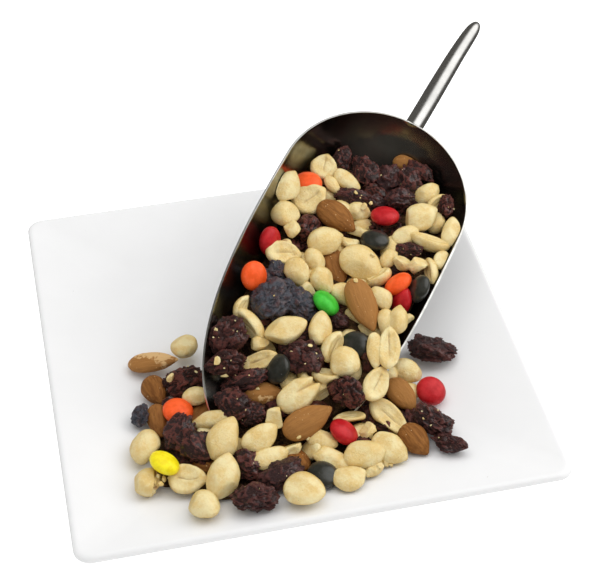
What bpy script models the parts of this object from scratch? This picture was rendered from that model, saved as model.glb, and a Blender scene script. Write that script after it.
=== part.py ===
"""Trail mix lying in a polished steel scoop on a square white plate, with part of it spilled over the lip.

The plate, the scoop's bowl, its handle, the heap and the pieces that lie apart are separate closed solids.
Sizes are in millimetres and are turned into metres when a mesh is made.
"""

import math

import bmesh
import bpy
import numpy as np
from mathutils import Matrix

MM = 0.001
GAP = 0.35

# Square plate with a flat well, a shallow sloping border and a low foot ring
PLATE_SIDE = 210.0
PLATE_CORNER = 7.0
RIM_TOP = 17.0
RIM_DEPTH = 3.6
RIM_ROUND = 2.2
BORDER_INSET = 12.0
WELL_HALF = 66.0
WELL_CORNER = 11.0
WELL_TOP = 8.0
WELL_MIDDLE = 36.0
BEND_INSIDE = 4.0
BEND_OUTSIDE = 6.0
FOOT_HALF = 68.0
FOOT_WIDTH = 4.0
FOOT_RECESS = 2.2
CORNER_STEPS = 6

# Scoop: half-round trough, round back, tongue-shaped lip
SCOOP_RADIUS = 44.8
BACK_STRETCH = 1.19
SCOOP_LENGTH = 185.7
RIM_DROP = -6.8
LIP_POWER = 2.35
SHEET = 1.4
SCOOP_HEADING = math.radians(34.6)
SCOOP_PITCH = math.radians(4.0)
SCOOP_ROLL = math.radians(-17.0)
SCOOP_CENTRE = np.array([55.7, 42.4, 62.5])
BACK_STATIONS = 9
TROUGH_STATIONS = 15
ARC_STEPS = 16
STATION_POWER = 1.5
TIP_FLAT = 0.25
LEAST_TURN = 0.9995

# Tube handle, as (sideways, behind the centre, above the axis, radius)
HANDLE_ROUTE = (
    (0.6, 46.0, -13.0, 4.7),
    (1.7, 60.0, -9.8, 4.7),
    (2.8, 82.0, -5.0, 4.6),
    (3.8, 102.0, -1.6, 4.3),
    (4.8, 116.0, 0.2, 4.0),
    (5.5, 124.0, 1.0, 3.5),
    (5.9, 128.2, 1.3, 2.3),
    (6.1, 129.8, 1.4, 0.9),
)

# Heap: a tilted level in the scoop, banked up along its walls, then a slope that runs out over the plate
LEVEL = -16.0
LEVEL_TILT = 0.16
WALL_BANK = 5.0
BACK_EDGE = 30.0
SPILL_EDGE = 7.0
SPILL_SLOPE = 0.33
MOUTH_START = 76.0
MOUTH_END = 114.0
CORE_SINK = 4.8
CORE_INSET = 6.0
CORE_REACH = 64.0
CORE_CLEAR = 1.0
CORE_TIP = 9.0
PIECE_ROOT = 1.4
PIECE_SINK = 3.4
STEEPEST = 0.6

# Mound on the plate: its middle, where it passes under the scoop, and its rings' shares of its reach
MOUND_MIDDLE = np.array([-14.0, -52.0])
MOUND_UNDER_SCOOP = np.array([(48.0, -18.0), (12.0, -30.0), (-20.0, -24.0), (-36.0, -2.0)])
MOUND_SHARES = (1.0, 0.88, 0.72, 0.5, 0.25)
MOUND_SIDES = 32
MOUND_LEAST = 1.2

# Settling: shares of a push or of the way back that a piece takes in one round, and its largest turn
SETTLE_ROUNDS = 130
FREE_ROUNDS = 40
PUSH_SHARE = 0.6
ACROSS_SIGHT_SHARE = 0.5
BACK_ALONG_SIGHT = 0.04
BACK_ACROSS_SIGHT = 0.10
TURN_ARM = 2.5
TURN_LIMIT = 0.12
DISH_CLEAR = 0.3
WALL_STEP = 3.0

# The reference picture is 600 by 587 pixels: where its eye is, and its focal length in pixels
PICTURE_MIDDLE = (300.0, 293.5)
FOCAL = 1549.2
EYE_AZIMUTH = math.radians(-12.41)
EYE_HEIGHT = math.radians(43.93)
EYE_DISTANCE = 726.4
EYE_TARGET = np.array([15.6, 27.0, 16.0])

# Outer edge of the spilled mix in the picture, from the scoop's left side round the front to its right side
SPILL_OUTLINE = (
    (176, 331), (136, 356), (136, 400), (134, 450), (136, 492), (165, 496), (205, 517), (254, 513),
    (304, 501), (358, 488), (405, 464), (450, 452), (464, 444), (446, 392), (450, 350), (418, 333),
)

# Sizes by kind: length, width and thickness
KINDS = {
    "nut": (15.0, 11.0, 9.0),
    "half": (15.0, 9.5, 5.6),
    "almond": (22.0, 12.5, 8.0),
    "candy": (13.5, 13.5, 7.2),
    "raisin": (15.0, 11.0, 8.0),
}
RAISIN_SWELL = 1.08
RAISIN_UNEVEN = 0.2
HALF_UNDERSIDE = 0.55
ALMOND_TAPER = 0.28
ALMOND_ENDS = 0.10
ALMOND_THINNING = 0.15
HEAP_SIDES = (7, 4)
KEPT_SHARE = 0.78
LOOSE_SIDES = (10, 7)

# Pieces that show: kind, picture position, heading in the picture, length, width, lift over the level.
# A candy has its tilt to the line of sight in place of a length and a width.
PIECES = (
    ("nut", 324, 167, 70, 12.5, 12, 0), ("half", 347, 181, -38, 15, 8, 1),
    ("half", 333, 185, -50, 11, 6, -1), ("nut", 287, 187, 68, 15.5, 11.5, 2),
    ("candy", 308, 183, 0, 46, 0, -2), ("half", 309, 199, 20, 16, 14, 2),
    ("nut", 285, 214, -10, 13, 12, -1), ("nut", 292, 229, -60, 9, 7, -1),
    ("raisin", 308, 228, 60, 13, 12, 0), ("almond", 337, 217, -37, 22, 13, 1),
    ("raisin", 352, 197, -10, 15, 8, 0), ("raisin", 375, 203, 0, 11, 8, -1),
    ("nut", 358, 212, -10, 11, 9, -3), ("candy", 385, 216, -3, 60, 0, 1), ("candy", 375, 240, -5, 55, 0, 1),
    ("nut", 358, 232, 0, 9, 7, -3), ("nut", 350, 243, -40, 9, 8, -2), ("raisin", 341, 160, 80, 13, 9, 0),
    ("raisin", 366, 172, -60, 15, 11, 0), ("raisin", 388, 180, 70, 15, 12, 0),
    ("raisin", 408, 182, -70, 16, 11, 1), ("raisin", 420, 173, -40, 13, 8, -1),
    ("almond", 404, 160, -10, 13, 9, 0), ("raisin", 400, 198, 20, 13, 9, -1),
    ("nut", 427, 194, 30, 13, 9.5, 0), ("half", 437, 203, 35, 10, 5, 0), ("nut", 420, 217, 20, 16, 13, 1),
    ("nut", 436, 223, 60, 11, 8, -3), ("half", 406, 235, 25, 13, 8.5, 1), ("half", 430, 241, -12, 18, 8, 1),
    ("half", 451, 232, 72, 15.5, 8, 0), ("raisin", 446, 206, 80, 12, 8, 0),
    ("half", 442, 260, 60, 10.5, 7.5, 0), ("half", 430, 271, -75, 13, 5.5, -1),
    ("nut", 419, 265, 30, 9, 8, 0), ("nut", 403, 263, -10, 9, 7, 0), ("half", 389, 258, 50, 10.5, 7, 0),
    ("raisin", 410, 251, -10, 12, 7, -2), ("nut", 361, 263, -25, 20, 15, 2),
    ("half", 377, 277, 20, 13, 7.5, 0), ("candy", 398, 284, 38, 66, 0, 0),
    ("candy", 419, 289, 62, 68, 0, 0), ("nut", 325, 241, 15, 16, 13, 1), ("nut", 315, 261, -70, 13, 8, 0),
    ("nut", 298, 271, -60, 13, 11.5, 2), ("nut", 322, 280, -60, 13, 10, 0),
    ("nut", 308, 290, -60, 8, 6.5, -1), ("half", 283, 253, -5, 15.5, 11, 1),
    ("candy", 270, 241, 80, -60, 0, 0), ("candy", 254, 276, 88, -40, 0, 1),
    ("raisin", 277, 271, -70, 11, 8, -1), ("almond", 335, 268, -62, 22, 12, -4),
    ("candy", 326, 303, -42, 64, 0, 2), ("almond", 363, 305, -63, 28, 13, 1),
    ("nut", 381, 298, -60, 12, 9.5, 2), ("nut", 386, 323, -80, 13, 8, 0), ("nut", 398, 320, 70, 13, 8.5, 0),
    ("nut", 407, 319, 0, 6, 5, -2), ("candy", 401, 301, 80, 60, 0, -4), ("raisin", 271, 300, 30, 19, 15, 1),
    ("raisin", 299, 304, -50, 16, 12, 0), ("raisin", 285, 287, 0, 11, 7, 0),
    ("nut", 320, 328, 80, 15.5, 9.5, 1), ("raisin", 338, 320, -40, 10, 7, -3),
    ("half", 333, 347, 60, 13, 7, 0), ("nut", 345, 362, -30, 13, 12.5, 1),
    ("candy", 355, 345, 10, 36, 0, -2), ("half", 375, 350, -85, 15.5, 7, 0),
    ("half", 389, 348, 85, 18.5, 9, 2), ("nut", 286, 330, 18, 18.5, 11.5, 2),
    ("nut", 259, 343, 10, 8, 6, -1), ("nut", 249, 325, -52, 17, 8.5, 0), ("half", 242, 307, 62, 10, 6, 0),
    ("half", 259, 361, 15, 16, 8.5, 0), ("raisin", 226, 338, 60, 19, 16, 3),
    ("raisin", 225, 363, 0, 17, 11, 0), ("candy", 278, 369, 62, 50, 0, 1),
    ("raisin", 304, 358, -20, 17, 14, 0), ("raisin", 292, 346, 20, 12, 8, -1),
    ("half", 326, 375, -15, 10, 7, 0), ("raisin", 348, 391, -50, 15, 13, 0),
    ("half", 376, 384, 60, 16, 10.5, 6), ("half", 322, 392, 35, 9, 5, -2), ("nut", 299, 394, 35, 20, 13, 2),
    ("almond", 264, 393, -5, 17, 10, -3), ("raisin", 243, 380, 15, 19, 9, 0),
    ("raisin", 232, 402, -30, 15, 12, -2), ("raisin", 252, 414, 0, 12, 9, -2),
    ("nut", 275, 418, 15, 10.5, 9, 0), ("almond", 308, 421, 25, 24, 13, 1),
    ("half", 260, 438, 35, 16, 9.5, 1), ("half", 270, 458, 15, 15.5, 9, 1), ("nut", 291, 449, 30, 9, 6, -2),
    ("half", 322, 440, -25, 13, 9, 0), ("candy", 344, 432, -38, 60, 0, 2), ("half", 350, 417, 5, 13, 5, -1),
    ("nut", 367, 431, 20, 8.5, 7, 0), ("half", 389, 417, -42, 20, 10, 2),
    ("almond", 402, 395, -45, 18, 12, 0), ("nut", 407, 371, -20, 14, 10, 0),
    ("almond", 415, 440, -45, 17, 12, 0), ("nut", 364, 455, 10, 17, 12, 1),
    ("nut", 389, 448, -30, 16, 13, 1), ("half", 333, 459, -17, 19, 8, 1), ("half", 350, 478, 5, 14, 11, 0),
    ("nut", 374, 470, 30, 9, 5, -2), ("candy", 323, 475, -15, 40, 0, -1),
    ("raisin", 281, 474, 30, 18, 12, 0), ("raisin", 248, 464, -10, 15, 12, 0),
    ("nut", 224, 439, 60, 19, 13, 2), ("nut", 223, 477, 65, 19, 12.5, 1),
    ("half", 187, 479, -8, 16, 12.5, 1), ("almond", 204, 465, -20, 12, 9, -3),
    ("raisin", 179, 432, 70, 15, 13, 1), ("raisin", 196, 447, -40, 16, 12, 1),
    ("candy", 178, 411, -10, 46, 0, 1), ("half", 212, 419, 10, 18, 7, 1), ("nut", 196, 396, 10, 12, 8, -1),
    ("raisin", 184, 381, 20, 17, 13, 1), ("almond", 155, 391, -55, 16, 11, 0),
    ("almond", 158, 421, -70, 17, 9.5, -1), ("raisin", 369, 412, 60, 10, 7, -3),
)

# Pieces at the edge that lie apart, each a solid of its own
LOOSE = (
    ("almond_loose", "almond", 153, 362, 15, 23.5, 10.5, 0),
    ("peanut_loose_left", "nut", 184, 347, -60, 13, 11.5, 0),
    ("raisin_loose_left", "raisin", 144, 417, 75, 11, 8, 0),
    ("peanut_loose_corner", "nut", 146, 446, 70, 17, 12, 0),
    ("candy_yellow_loose", "candy", 163, 466, -10, 46, 0, 2),
    ("peanut_split_loose", "nut", 150, 481, 60, 14, 12, 0),
    ("peanut_loose_front", "nut", 206, 504, -45, 15, 12, 0),
    ("raisin_loose_front", "raisin", 254, 498, -20, 16, 14, 0),
    ("peanut_yellow_loose", "nut", 304, 488, -10, 16.5, 15, 0),
    ("raisin_loose_back", "raisin", 430, 349, -15, 20, 13, 0),
    ("candy_red_loose", "candy", 431, 391, -30, 30, 0, 0),
    ("raisin_loose_right", "raisin", 431, 420, -32, 18, 11, 0),
    ("raisin_loose_tail", "raisin", 450, 443, -32, 14, 8, 0),
)

COLLECTION = "trail_mix_scoop_set"


def remove_objects(objects):
    for obj in list(objects):
        bpy.data.objects.remove(obj, do_unlink=True)


def add_collection(name, parent=None):
    collection = bpy.data.collections.new(name)
    (parent or bpy.context.scene.collection).children.link(collection)
    return collection


def material(name, colour, roughness, metallic=0.0):
    made = bpy.data.materials.new(name)
    made.use_nodes = True
    shader = made.node_tree.nodes["Principled BSDF"]
    shader.inputs["Base Color"].default_value = (*colour, 1.0)
    shader.inputs["Roughness"].default_value = roughness
    shader.inputs["Metallic"].default_value = metallic
    made.diffuse_color = (*colour, 1.0)
    return made


def add_object(name, mesh, collection, surface=None):
    obj = bpy.data.objects.new(name, mesh)
    collection.objects.link(obj)
    if surface:
        mesh.materials.append(surface)
    return obj


def mesh_of(name, points, faces):
    mesh = bpy.data.meshes.new(name)
    mesh.from_pydata([tuple(p) for p in np.asarray(points) * MM], [], faces)
    mesh.update()
    return mesh


def loft(name, rings):
    """Closed solid through rings of the same number of points, with a flat cap on the first and the last."""
    count = len(rings[0])
    faces = [tuple(reversed(range(count)))]
    for i in range(len(rings) - 1):
        low, high = i * count, (i + 1) * count
        for j in range(count):
            k = (j + 1) % count
            faces.append((low + j, low + k, high + k, high + j))
    last = (len(rings) - 1) * count
    faces.append(tuple(range(last, last + count)))
    mesh = mesh_of(name, np.concatenate(rings), faces)
    shape = bmesh.new()
    shape.from_mesh(mesh)
    bmesh.ops.recalc_face_normals(shape, faces=shape.faces)
    shape.to_mesh(mesh)
    shape.free()
    return mesh


def apply_modifiers(obj):
    graph = bpy.context.evaluated_depsgraph_get()
    mesh = bpy.data.meshes.new_from_object(obj.evaluated_get(graph))
    obj.modifiers.clear()
    obj.data = mesh


# Plate


def rounded_square(half, corner, z):
    turn = np.linspace(0, math.pi / 2, CORNER_STEPS + 1)
    ring = []
    for quarter in range(4):
        angle = turn + quarter * math.pi / 2
        middle = math.pi / 4 + quarter * math.pi / 2
        centre = (half - corner) * math.sqrt(2) * np.array([math.cos(middle), math.sin(middle)])
        ring += [(centre[0] + corner * math.cos(t), centre[1] + corner * math.sin(t), z) for t in angle]
    return np.array(ring)


def plate_top_profile():
    """(half side, corner radius, height) of the upper face, from the well to the rim."""
    half = PLATE_SIDE / 2
    slope = (RIM_TOP - 0.5 - WELL_TOP) / (half - 3.0 - WELL_HALF)
    border = half - BORDER_INSET
    return [
        (WELL_MIDDLE, WELL_CORNER, WELL_TOP),
        (WELL_HALF - BEND_INSIDE, WELL_CORNER, WELL_TOP),
        (WELL_HALF + 1.0, WELL_CORNER, WELL_TOP + slope * 2.2),
        (WELL_HALF + BEND_OUTSIDE, WELL_CORNER, WELL_TOP + slope * BEND_OUTSIDE),
        (border, PLATE_CORNER + 1.5, WELL_TOP + slope * (border - WELL_HALF) + 0.2),
        (half - RIM_ROUND, PLATE_CORNER, RIM_TOP),
    ]


def plate_mesh():
    """Plate with its rounded rim, its sloping underside and the ring that it stands on."""
    half = PLATE_SIDE / 2
    under_rim = RIM_TOP - RIM_DEPTH
    inside_foot = FOOT_HALF - FOOT_WIDTH
    outside = [
        (half - 0.6, PLATE_CORNER, RIM_TOP - 0.3),
        (half, PLATE_CORNER, RIM_TOP - 1.3),
        (half, PLATE_CORNER, under_rim + 0.8),
        (half - 1.2, PLATE_CORNER, under_rim),
        (FOOT_HALF + 3.0, WELL_CORNER, 3.4),
        (FOOT_HALF + 0.6, WELL_CORNER, 0.5),
        (FOOT_HALF, WELL_CORNER, 0.0),
        (inside_foot, WELL_CORNER - 1, 0.0),
        (inside_foot - 1.0, WELL_CORNER - 1, FOOT_RECESS),
    ]
    rings = [rounded_square(*row) for row in plate_top_profile() + outside]
    return loft("plate", rings)


def plate_height(x, y):
    """Height of the plate's upper face at a point, read off its profile by the distance from the middle."""
    across = np.maximum(np.abs(x), np.abs(y))
    corner = np.minimum(np.abs(x), np.abs(y))
    pull = np.maximum(corner - (across - PLATE_CORNER), 0.0)
    across = across + pull * pull / (4.0 * PLATE_CORNER)
    profile = plate_top_profile()
    return np.interp(across, [row[0] for row in profile], [row[2] for row in profile])


# Scoop


def scoop_axes():
    """Unit vectors of the scoop: sideways to its right, backward to the handle, and up."""
    back = np.array([
        math.sin(SCOOP_HEADING) * math.cos(SCOOP_PITCH),
        math.cos(SCOOP_HEADING) * math.cos(SCOOP_PITCH),
        math.sin(SCOOP_PITCH),
    ])
    level = np.array([math.cos(SCOOP_HEADING), -math.sin(SCOOP_HEADING), 0.0])
    up = np.cross(level, back)
    side = math.cos(SCOOP_ROLL) * level + math.sin(SCOOP_ROLL) * up
    return side, back, -math.sin(SCOOP_ROLL) * level + math.cos(SCOOP_ROLL) * up


SIDE, BACK, UP = scoop_axes()
BACK_REACH = BACK_STRETCH * SCOOP_RADIUS


def in_scoop(point):
    """Sideways distance, distance from the back of the bowl, and height over its axis."""
    away = np.asarray(point) - SCOOP_CENTRE
    return away @ SIDE, BACK_REACH - away @ BACK, away @ UP


def from_scoop(x, s, z):
    x, s, z = np.broadcast_arrays(x, s, z)
    offset = x[..., None] * SIDE + (BACK_REACH - s)[..., None] * BACK + z[..., None] * UP
    return SCOOP_CENTRE + offset


def scoop_radius(s):
    front = np.clip((BACK_REACH - np.asarray(s, float)) / BACK_REACH, 0.0, 1.0)
    return SCOOP_RADIUS * np.sqrt(1.0 - front**2)


def rim_height(s, length=SCOOP_LENGTH):
    along = np.clip((np.asarray(s, float) - BACK_REACH) / (length - BACK_REACH), 0.0, 1.0)
    drop = RIM_DROP - along**LIP_POWER * (SCOOP_RADIUS + RIM_DROP)
    return np.maximum(drop, -scoop_radius(s))


def rim_width(s):
    return np.sqrt(np.maximum(scoop_radius(s) ** 2 - rim_height(s) ** 2, 0.0))


def scoop_mesh(name, grow=0.0):
    """Open surface of the scoop, from the back of the bowl to the lip's tip, its edges moved out by grow."""
    length = SCOOP_LENGTH + grow
    start = math.asin(-RIM_DROP / SCOOP_RADIUS) * (1.04 if grow == 0 else 1.0)
    turns = np.linspace(start, math.pi / 2, BACK_STATIONS)
    stations = list(BACK_REACH * (1 - np.cos(turns)))
    trough = length - TIP_FLAT - BACK_REACH
    for share in np.linspace(0, 1, TROUGH_STATIONS + 1)[1:]:
        stations.append(BACK_REACH + trough * (1 - (1 - share) ** STATION_POWER))
    points, faces = [], []
    for s in stations:
        radius = scoop_radius(s)
        top = min(rim_height(s, length) + grow, -0.02 * radius)
        reach = math.acos(min(-top / radius, LEAST_TURN))
        turn = np.linspace(-reach, reach, ARC_STEPS + 1)
        points.append(from_scoop(radius * np.sin(turn), s, -radius * np.cos(turn)))
    count = ARC_STEPS + 1
    for i in range(len(stations) - 1):
        for j in range(ARC_STEPS):
            low = i * count + j
            faces.append((low, low + 1, low + count + 1, low + count))
    return mesh_of(name, np.concatenate(points), faces)


def scoop_object(name, collection, surface, thickness, grow=0.0):
    obj = add_object(name, scoop_mesh(name, grow), collection, surface)
    shell = obj.modifiers.new("sheet", "SOLIDIFY")
    shell.thickness = thickness * MM
    shell.offset = 0.0
    return obj


def handle_object(collection, surface):
    """Tube that ends in a round tip, cut hollow where it meets the round back of the scoop."""
    curve = bpy.data.curves.new("handle_route", "CURVE")
    curve.dimensions = "3D"
    curve.bevel_depth = MM
    curve.bevel_resolution = 3
    curve.use_fill_caps = True
    spline = curve.splines.new("POLY")
    route = smooth_route(np.array(HANDLE_ROUTE), 3)
    spline.points.add(len(route) - 1)
    for point, (x, behind, z, radius) in zip(spline.points, route):
        place = from_scoop(x, BACK_REACH - behind, z) * MM
        point.co = (*place, 1.0)
        point.radius = radius
    tube = add_object("handle_tube", curve, collection)
    graph = bpy.context.evaluated_depsgraph_get()
    mesh = bpy.data.meshes.new_from_object(tube.evaluated_get(graph))
    bpy.data.objects.remove(tube, do_unlink=True)
    shape = bmesh.new()
    shape.from_mesh(mesh)
    bmesh.ops.remove_doubles(shape, verts=shape.verts, dist=1e-6)
    bmesh.ops.recalc_face_normals(shape, faces=shape.faces)
    shape.to_mesh(mesh)
    shape.free()
    handle = add_object("scoop_handle", mesh, collection, surface)

    bpy.ops.mesh.primitive_uv_sphere_add(segments=32, ring_count=20, radius=1.0)
    back = bpy.context.object
    clear = SHEET / 2 + GAP + 0.3
    wide = (SCOOP_RADIUS + clear) * MM
    size = Matrix.Diagonal((wide, (BACK_REACH + clear) * MM, wide, 1.0))
    turned = Matrix(np.column_stack([SIDE, BACK, UP])).to_4x4()
    back.data.transform(Matrix.Translation(SCOOP_CENTRE * MM) @ turned @ size)
    cut = handle.modifiers.new("back", "BOOLEAN")
    cut.operation = "DIFFERENCE"
    cut.object = back
    apply_modifiers(handle)
    bpy.data.objects.remove(back, do_unlink=True)
    return handle


def smooth_route(points, steps):
    """Catmull-Rom curve through the points, with this many steps between two of them."""
    padded = np.vstack([2 * points[0] - points[1], points, 2 * points[-1] - points[-2]])
    route = []
    for i in range(1, len(padded) - 2):
        p0, p1, p2, p3 = padded[i - 1 : i + 3]
        for t in np.arange(steps) / steps:
            bend = (2 * p0 - 5 * p1 + 4 * p2 - p3) * t**2 + (3 * p1 - p0 - 3 * p2 + p3) * t**3
            route.append(0.5 * (2 * p1 + (p2 - p0) * t + bend))
    route.append(points[-1])
    return np.array(route)


# Line of sight


def sight_axes():
    toward = np.array([
        math.sin(EYE_AZIMUTH) * math.cos(EYE_HEIGHT),
        -math.cos(EYE_AZIMUTH) * math.cos(EYE_HEIGHT),
        math.sin(EYE_HEIGHT),
    ])
    right = np.array([math.cos(EYE_AZIMUTH), math.sin(EYE_AZIMUTH), 0.0])
    return right, np.cross(toward, right), toward


RIGHT, RISE, TOWARD = sight_axes()
EYE = EYE_TARGET + EYE_DISTANCE * TOWARD


def sight_line(u, v):
    ray = (u - PICTURE_MIDDLE[0]) / FOCAL * RIGHT - (v - PICTURE_MIDDLE[1]) / FOCAL * RISE - TOWARD
    return ray / np.linalg.norm(ray)


def at_height(u, v, z):
    ray = sight_line(u, v)
    return EYE + ray * (z - EYE[2]) / ray[2]


# Heap


OUTLINE = np.array([at_height(u, v, WELL_TOP + 3.0)[:2] for u, v in SPILL_OUTLINE])


def inside_outline(x, y):
    """Shortest distance to the spill's outer edge."""
    point = np.stack(np.broadcast_arrays(x, y), -1).astype(float)
    best = np.full(point.shape[:-1], 1e9)
    for start, end in zip(OUTLINE[:-1], OUTLINE[1:]):
        step = end - start
        share = np.clip(((point - start) @ step) / (step @ step), 0, 1)
        best = np.minimum(best, np.linalg.norm(point - start - share[..., None] * step, axis=-1))
    return best


def smooth_share(value, low, high):
    share = np.clip((value - low) / (high - low), 0.0, 1.0)
    return share * share * (3 - 2 * share)


def scoop_level(x, y):
    """Height of the heap's tilted level in the scoop."""
    slant = UP - LEVEL_TILT * SIDE
    fall = (x - SCOOP_CENTRE[0]) * slant[0] + (y - SCOOP_CENTRE[1]) * slant[1]
    flat = SCOOP_CENTRE[2] + (LEVEL - fall) / slant[2]
    across = in_scoop(np.stack([x, y, flat], -1))[0]
    return flat + WALL_BANK * np.minimum((across / SCOOP_RADIUS) ** 2, 1.0)


def spill_level(x, y):
    """Height of the spilled mix, which rises inward from its outer edge."""
    return plate_height(x, y) + SPILL_EDGE + SPILL_SLOPE * inside_outline(x, y)


def in_the_scoop(point):
    across, s, _ = in_scoop(point)
    return (s < SCOOP_LENGTH) & (np.abs(across) < rim_width(s))


def filled_level(point):
    """The scoop's level, running out into the spill at the mouth."""
    x, y = point[..., 0], point[..., 1]
    level = scoop_level(x, y)
    share = smooth_share(in_scoop(point)[1] - BACK_REACH, MOUTH_START, MOUTH_END)
    return level * (1 - share) + np.minimum(level, spill_level(x, y)) * share


def heap_level(point):
    """Top of the heap above or below a point."""
    return np.where(in_the_scoop(point), filled_level(point), spill_level(point[..., 0], point[..., 1]))


def on_heap(u, v, lift):
    """Where the line of sight meets the heap, for a piece this far above the middle of the top layer."""
    z = 25.0
    for _ in range(30):
        point = at_height(u, v, z)
        z += 0.5 * (heap_level(point) - PIECE_SINK + lift - z)
    return at_height(u, v, z)


def heap_normal(point):
    """Unit normal of the heap's top, with its slope kept under the steepest that a piece lies at."""
    step = 4.0
    dx = heap_level(point + [step, 0, 0]) - heap_level(point - [step, 0, 0])
    dy = heap_level(point + [0, step, 0]) - heap_level(point - [0, step, 0])
    slope = np.clip(np.array([dx, dy]) / (2 * step), -STEEPEST, STEEPEST)
    normal = np.array([*-slope, 1.0])
    return normal / np.linalg.norm(normal)


class Piece:
    """One nut, candy or raisin: its size, its middle and its axes (long, wide, thick)."""

    def __init__(self, kind, u, v, heading, length, width, lift):
        self.kind = kind
        angle = math.radians(heading)
        self.target = on_heap(u, v, lift)
        self.middle = self.target.copy()
        self.ray = sight_line(u, v)
        along = math.cos(angle) * RIGHT + math.sin(angle) * RISE
        if kind == "candy":
            self.size = np.array(KINDS[kind])
            tilt = math.radians(length)
            lean = math.cos(angle) * RISE - math.sin(angle) * RIGHT
            thick = math.cos(tilt) * TOWARD + math.sin(tilt) * lean
        else:
            thick = heap_normal(self.target)
            usual = KINDS[kind]
            self.size = np.array([length, width, min(width * usual[2] / usual[1], usual[2])])
            along = along - TOWARD * (along @ thick) / (TOWARD @ thick)
        along = along - thick * (along @ thick)
        along /= np.linalg.norm(along)
        self.axes = np.column_stack([along, np.cross(thick, along), thick])

    def balls(self):
        """Middles, in the piece's axes, of equal balls that fill it, and their radius."""
        a, b, c = self.size / 2
        turn = np.arange(8) * math.pi / 4
        ring = np.column_stack([(a - c) * np.cos(turn), max(b - c, 0) * np.sin(turn), 0 * turn])
        return np.vstack([[0, 0, 0], ring]), c


def settle(pieces):
    """Moves touching pieces apart, mostly along the line of sight, and keeps them off the dish."""
    local = np.array([piece.balls()[0] for piece in pieces])
    radius = np.array([piece.balls()[1] for piece in pieces]) + GAP / 2
    radius *= np.array([RAISIN_SWELL if piece.kind == "raisin" else 1.0 for piece in pieces])
    target = np.array([piece.target for piece in pieces])
    ray = np.array([piece.ray for piece in pieces])
    axes = np.array([piece.axes for piece in pieces])
    middle = target.copy()
    inner = in_the_scoop(target)
    count, many = local.shape[:2]
    owner = np.repeat(np.arange(count), many)
    reach = np.repeat(radius, many)
    for turn_number in range(SETTLE_ROUNDS):
        hold = 1.0 if turn_number < SETTLE_ROUNDS - FREE_ROUNDS else 0.0
        balls = (np.einsum("nij,nkj->nki", axes, local) + middle[:, None]).reshape(-1, 3)
        away = balls[:, None] - balls[None]
        distance = np.linalg.norm(away, axis=-1) + 1e-9
        depth = reach[:, None] + reach[None] - distance
        depth[owner[:, None] == owner[None]] = 0
        depth = np.maximum(depth, 0)
        push = (away / distance[..., None] * depth[..., None]).sum(1)
        touching = np.maximum((depth > 0).sum(1), 1)[:, None]
        push = PUSH_SHARE * push / touching
        push += wall_push(balls, reach, np.repeat(inner, many))
        force = push.reshape(count, many, 3)
        busy = np.maximum((np.abs(force).sum(-1) > 0).sum(1), 1)[:, None]
        shift = force.sum(1) / busy
        arm = balls.reshape(count, many, 3) - middle[:, None]
        spin = np.cross(arm, force).sum(1) / (busy * (radius[:, None] * TURN_ARM) ** 2)
        sideways = shift - ray * (shift * ray).sum(1)[:, None]
        shift = shift - ACROSS_SIGHT_SHARE * sideways
        back = target - middle
        back_along = ray * (back * ray).sum(1)[:, None]
        pull = BACK_ALONG_SIGHT * back_along + BACK_ACROSS_SIGHT * (back - back_along)
        middle += shift + hold * pull
        for i in range(count):
            angle = min(np.linalg.norm(spin[i]), TURN_LIMIT)
            if angle > 1e-5:
                spun = Matrix.Rotation(angle, 3, spin[i] / np.linalg.norm(spin[i]))
                axes[i] = np.array(spun) @ axes[i]
    for piece, place, turned in zip(pieces, middle, axes):
        piece.middle, piece.axes = place, turned


def wall_push(balls, reach, inner):
    """Push on each ball that reaches into the plate or through the scoop's sheet."""
    push = np.zeros_like(balls)
    low = plate_height(balls[:, 0], balls[:, 1]) + GAP + DISH_CLEAR + reach - balls[:, 2]
    push[:, 2] += np.maximum(low, 0)
    across, s, up = in_scoop(balls)
    radius = scoop_radius(s)
    out = np.hypot(across, up) + 1e-9
    beside = (s > 0) & (s < SCOOP_LENGTH) & (up < rim_height(s) + 0.5)
    clear = SHEET / 2 + GAP + DISH_CLEAR + 0.1
    deep = np.where(inner, out + reach - (radius - clear), out - reach - (radius + clear))
    deep = np.where(inner, np.maximum(deep, 0), np.minimum(deep, 0)) * beside
    outward = (across / out)[:, None] * SIDE + (up / out)[:, None] * UP
    return push - np.clip(deep, -WALL_STEP, WALL_STEP)[:, None] * outward


def seat(piece):
    """Lowers a piece along the line of sight until its underside is in the core."""
    low = piece.middle[2] - piece.size[2] / 2
    over = low + PIECE_ROOT - float(heap_level(piece.middle) - CORE_SINK)
    if over > 0:
        piece.middle = piece.middle - piece.ray * over / piece.ray[2]


def piece_mesh(piece, name, segments, rings, grow=0.0):
    """Few-sided body of a piece: egg, flat-bottomed half, teardrop, lens or lumpy dried fruit."""
    shape = bmesh.new()
    if piece.kind == "candy":
        segments += 1
    bmesh.ops.create_uvsphere(shape, u_segments=segments, v_segments=rings, radius=1.0)
    seed = int(abs(piece.target[0] * 13 + piece.target[1] * 7)) % 10007
    lumps = np.random.default_rng(seed)
    half = piece.size / 2 + grow
    for vertex in shape.verts:
        x, y, z = vertex.co if piece.kind == "candy" else (vertex.co.z, vertex.co.x, vertex.co.y)
        if piece.kind == "half" and z < 0:
            z *= HALF_UNDERSIDE
        if piece.kind == "almond":
            y *= 1.0 - ALMOND_TAPER * x - ALMOND_ENDS * x * x
            z *= 1.0 - ALMOND_THINNING * x
        if piece.kind == "raisin":
            swell = RAISIN_SWELL - RAISIN_UNEVEN * lumps.random()
            x, y, z = x * swell, y * swell, z * swell
        vertex.co = (piece.middle + piece.axes @ (np.array([x, y, z]) * half)) * MM
    bmesh.ops.triangulate(shape, faces=shape.faces, quad_method="FIXED")
    mesh = bpy.data.meshes.new(name)
    shape.to_mesh(mesh)
    shape.free()
    return mesh


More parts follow.
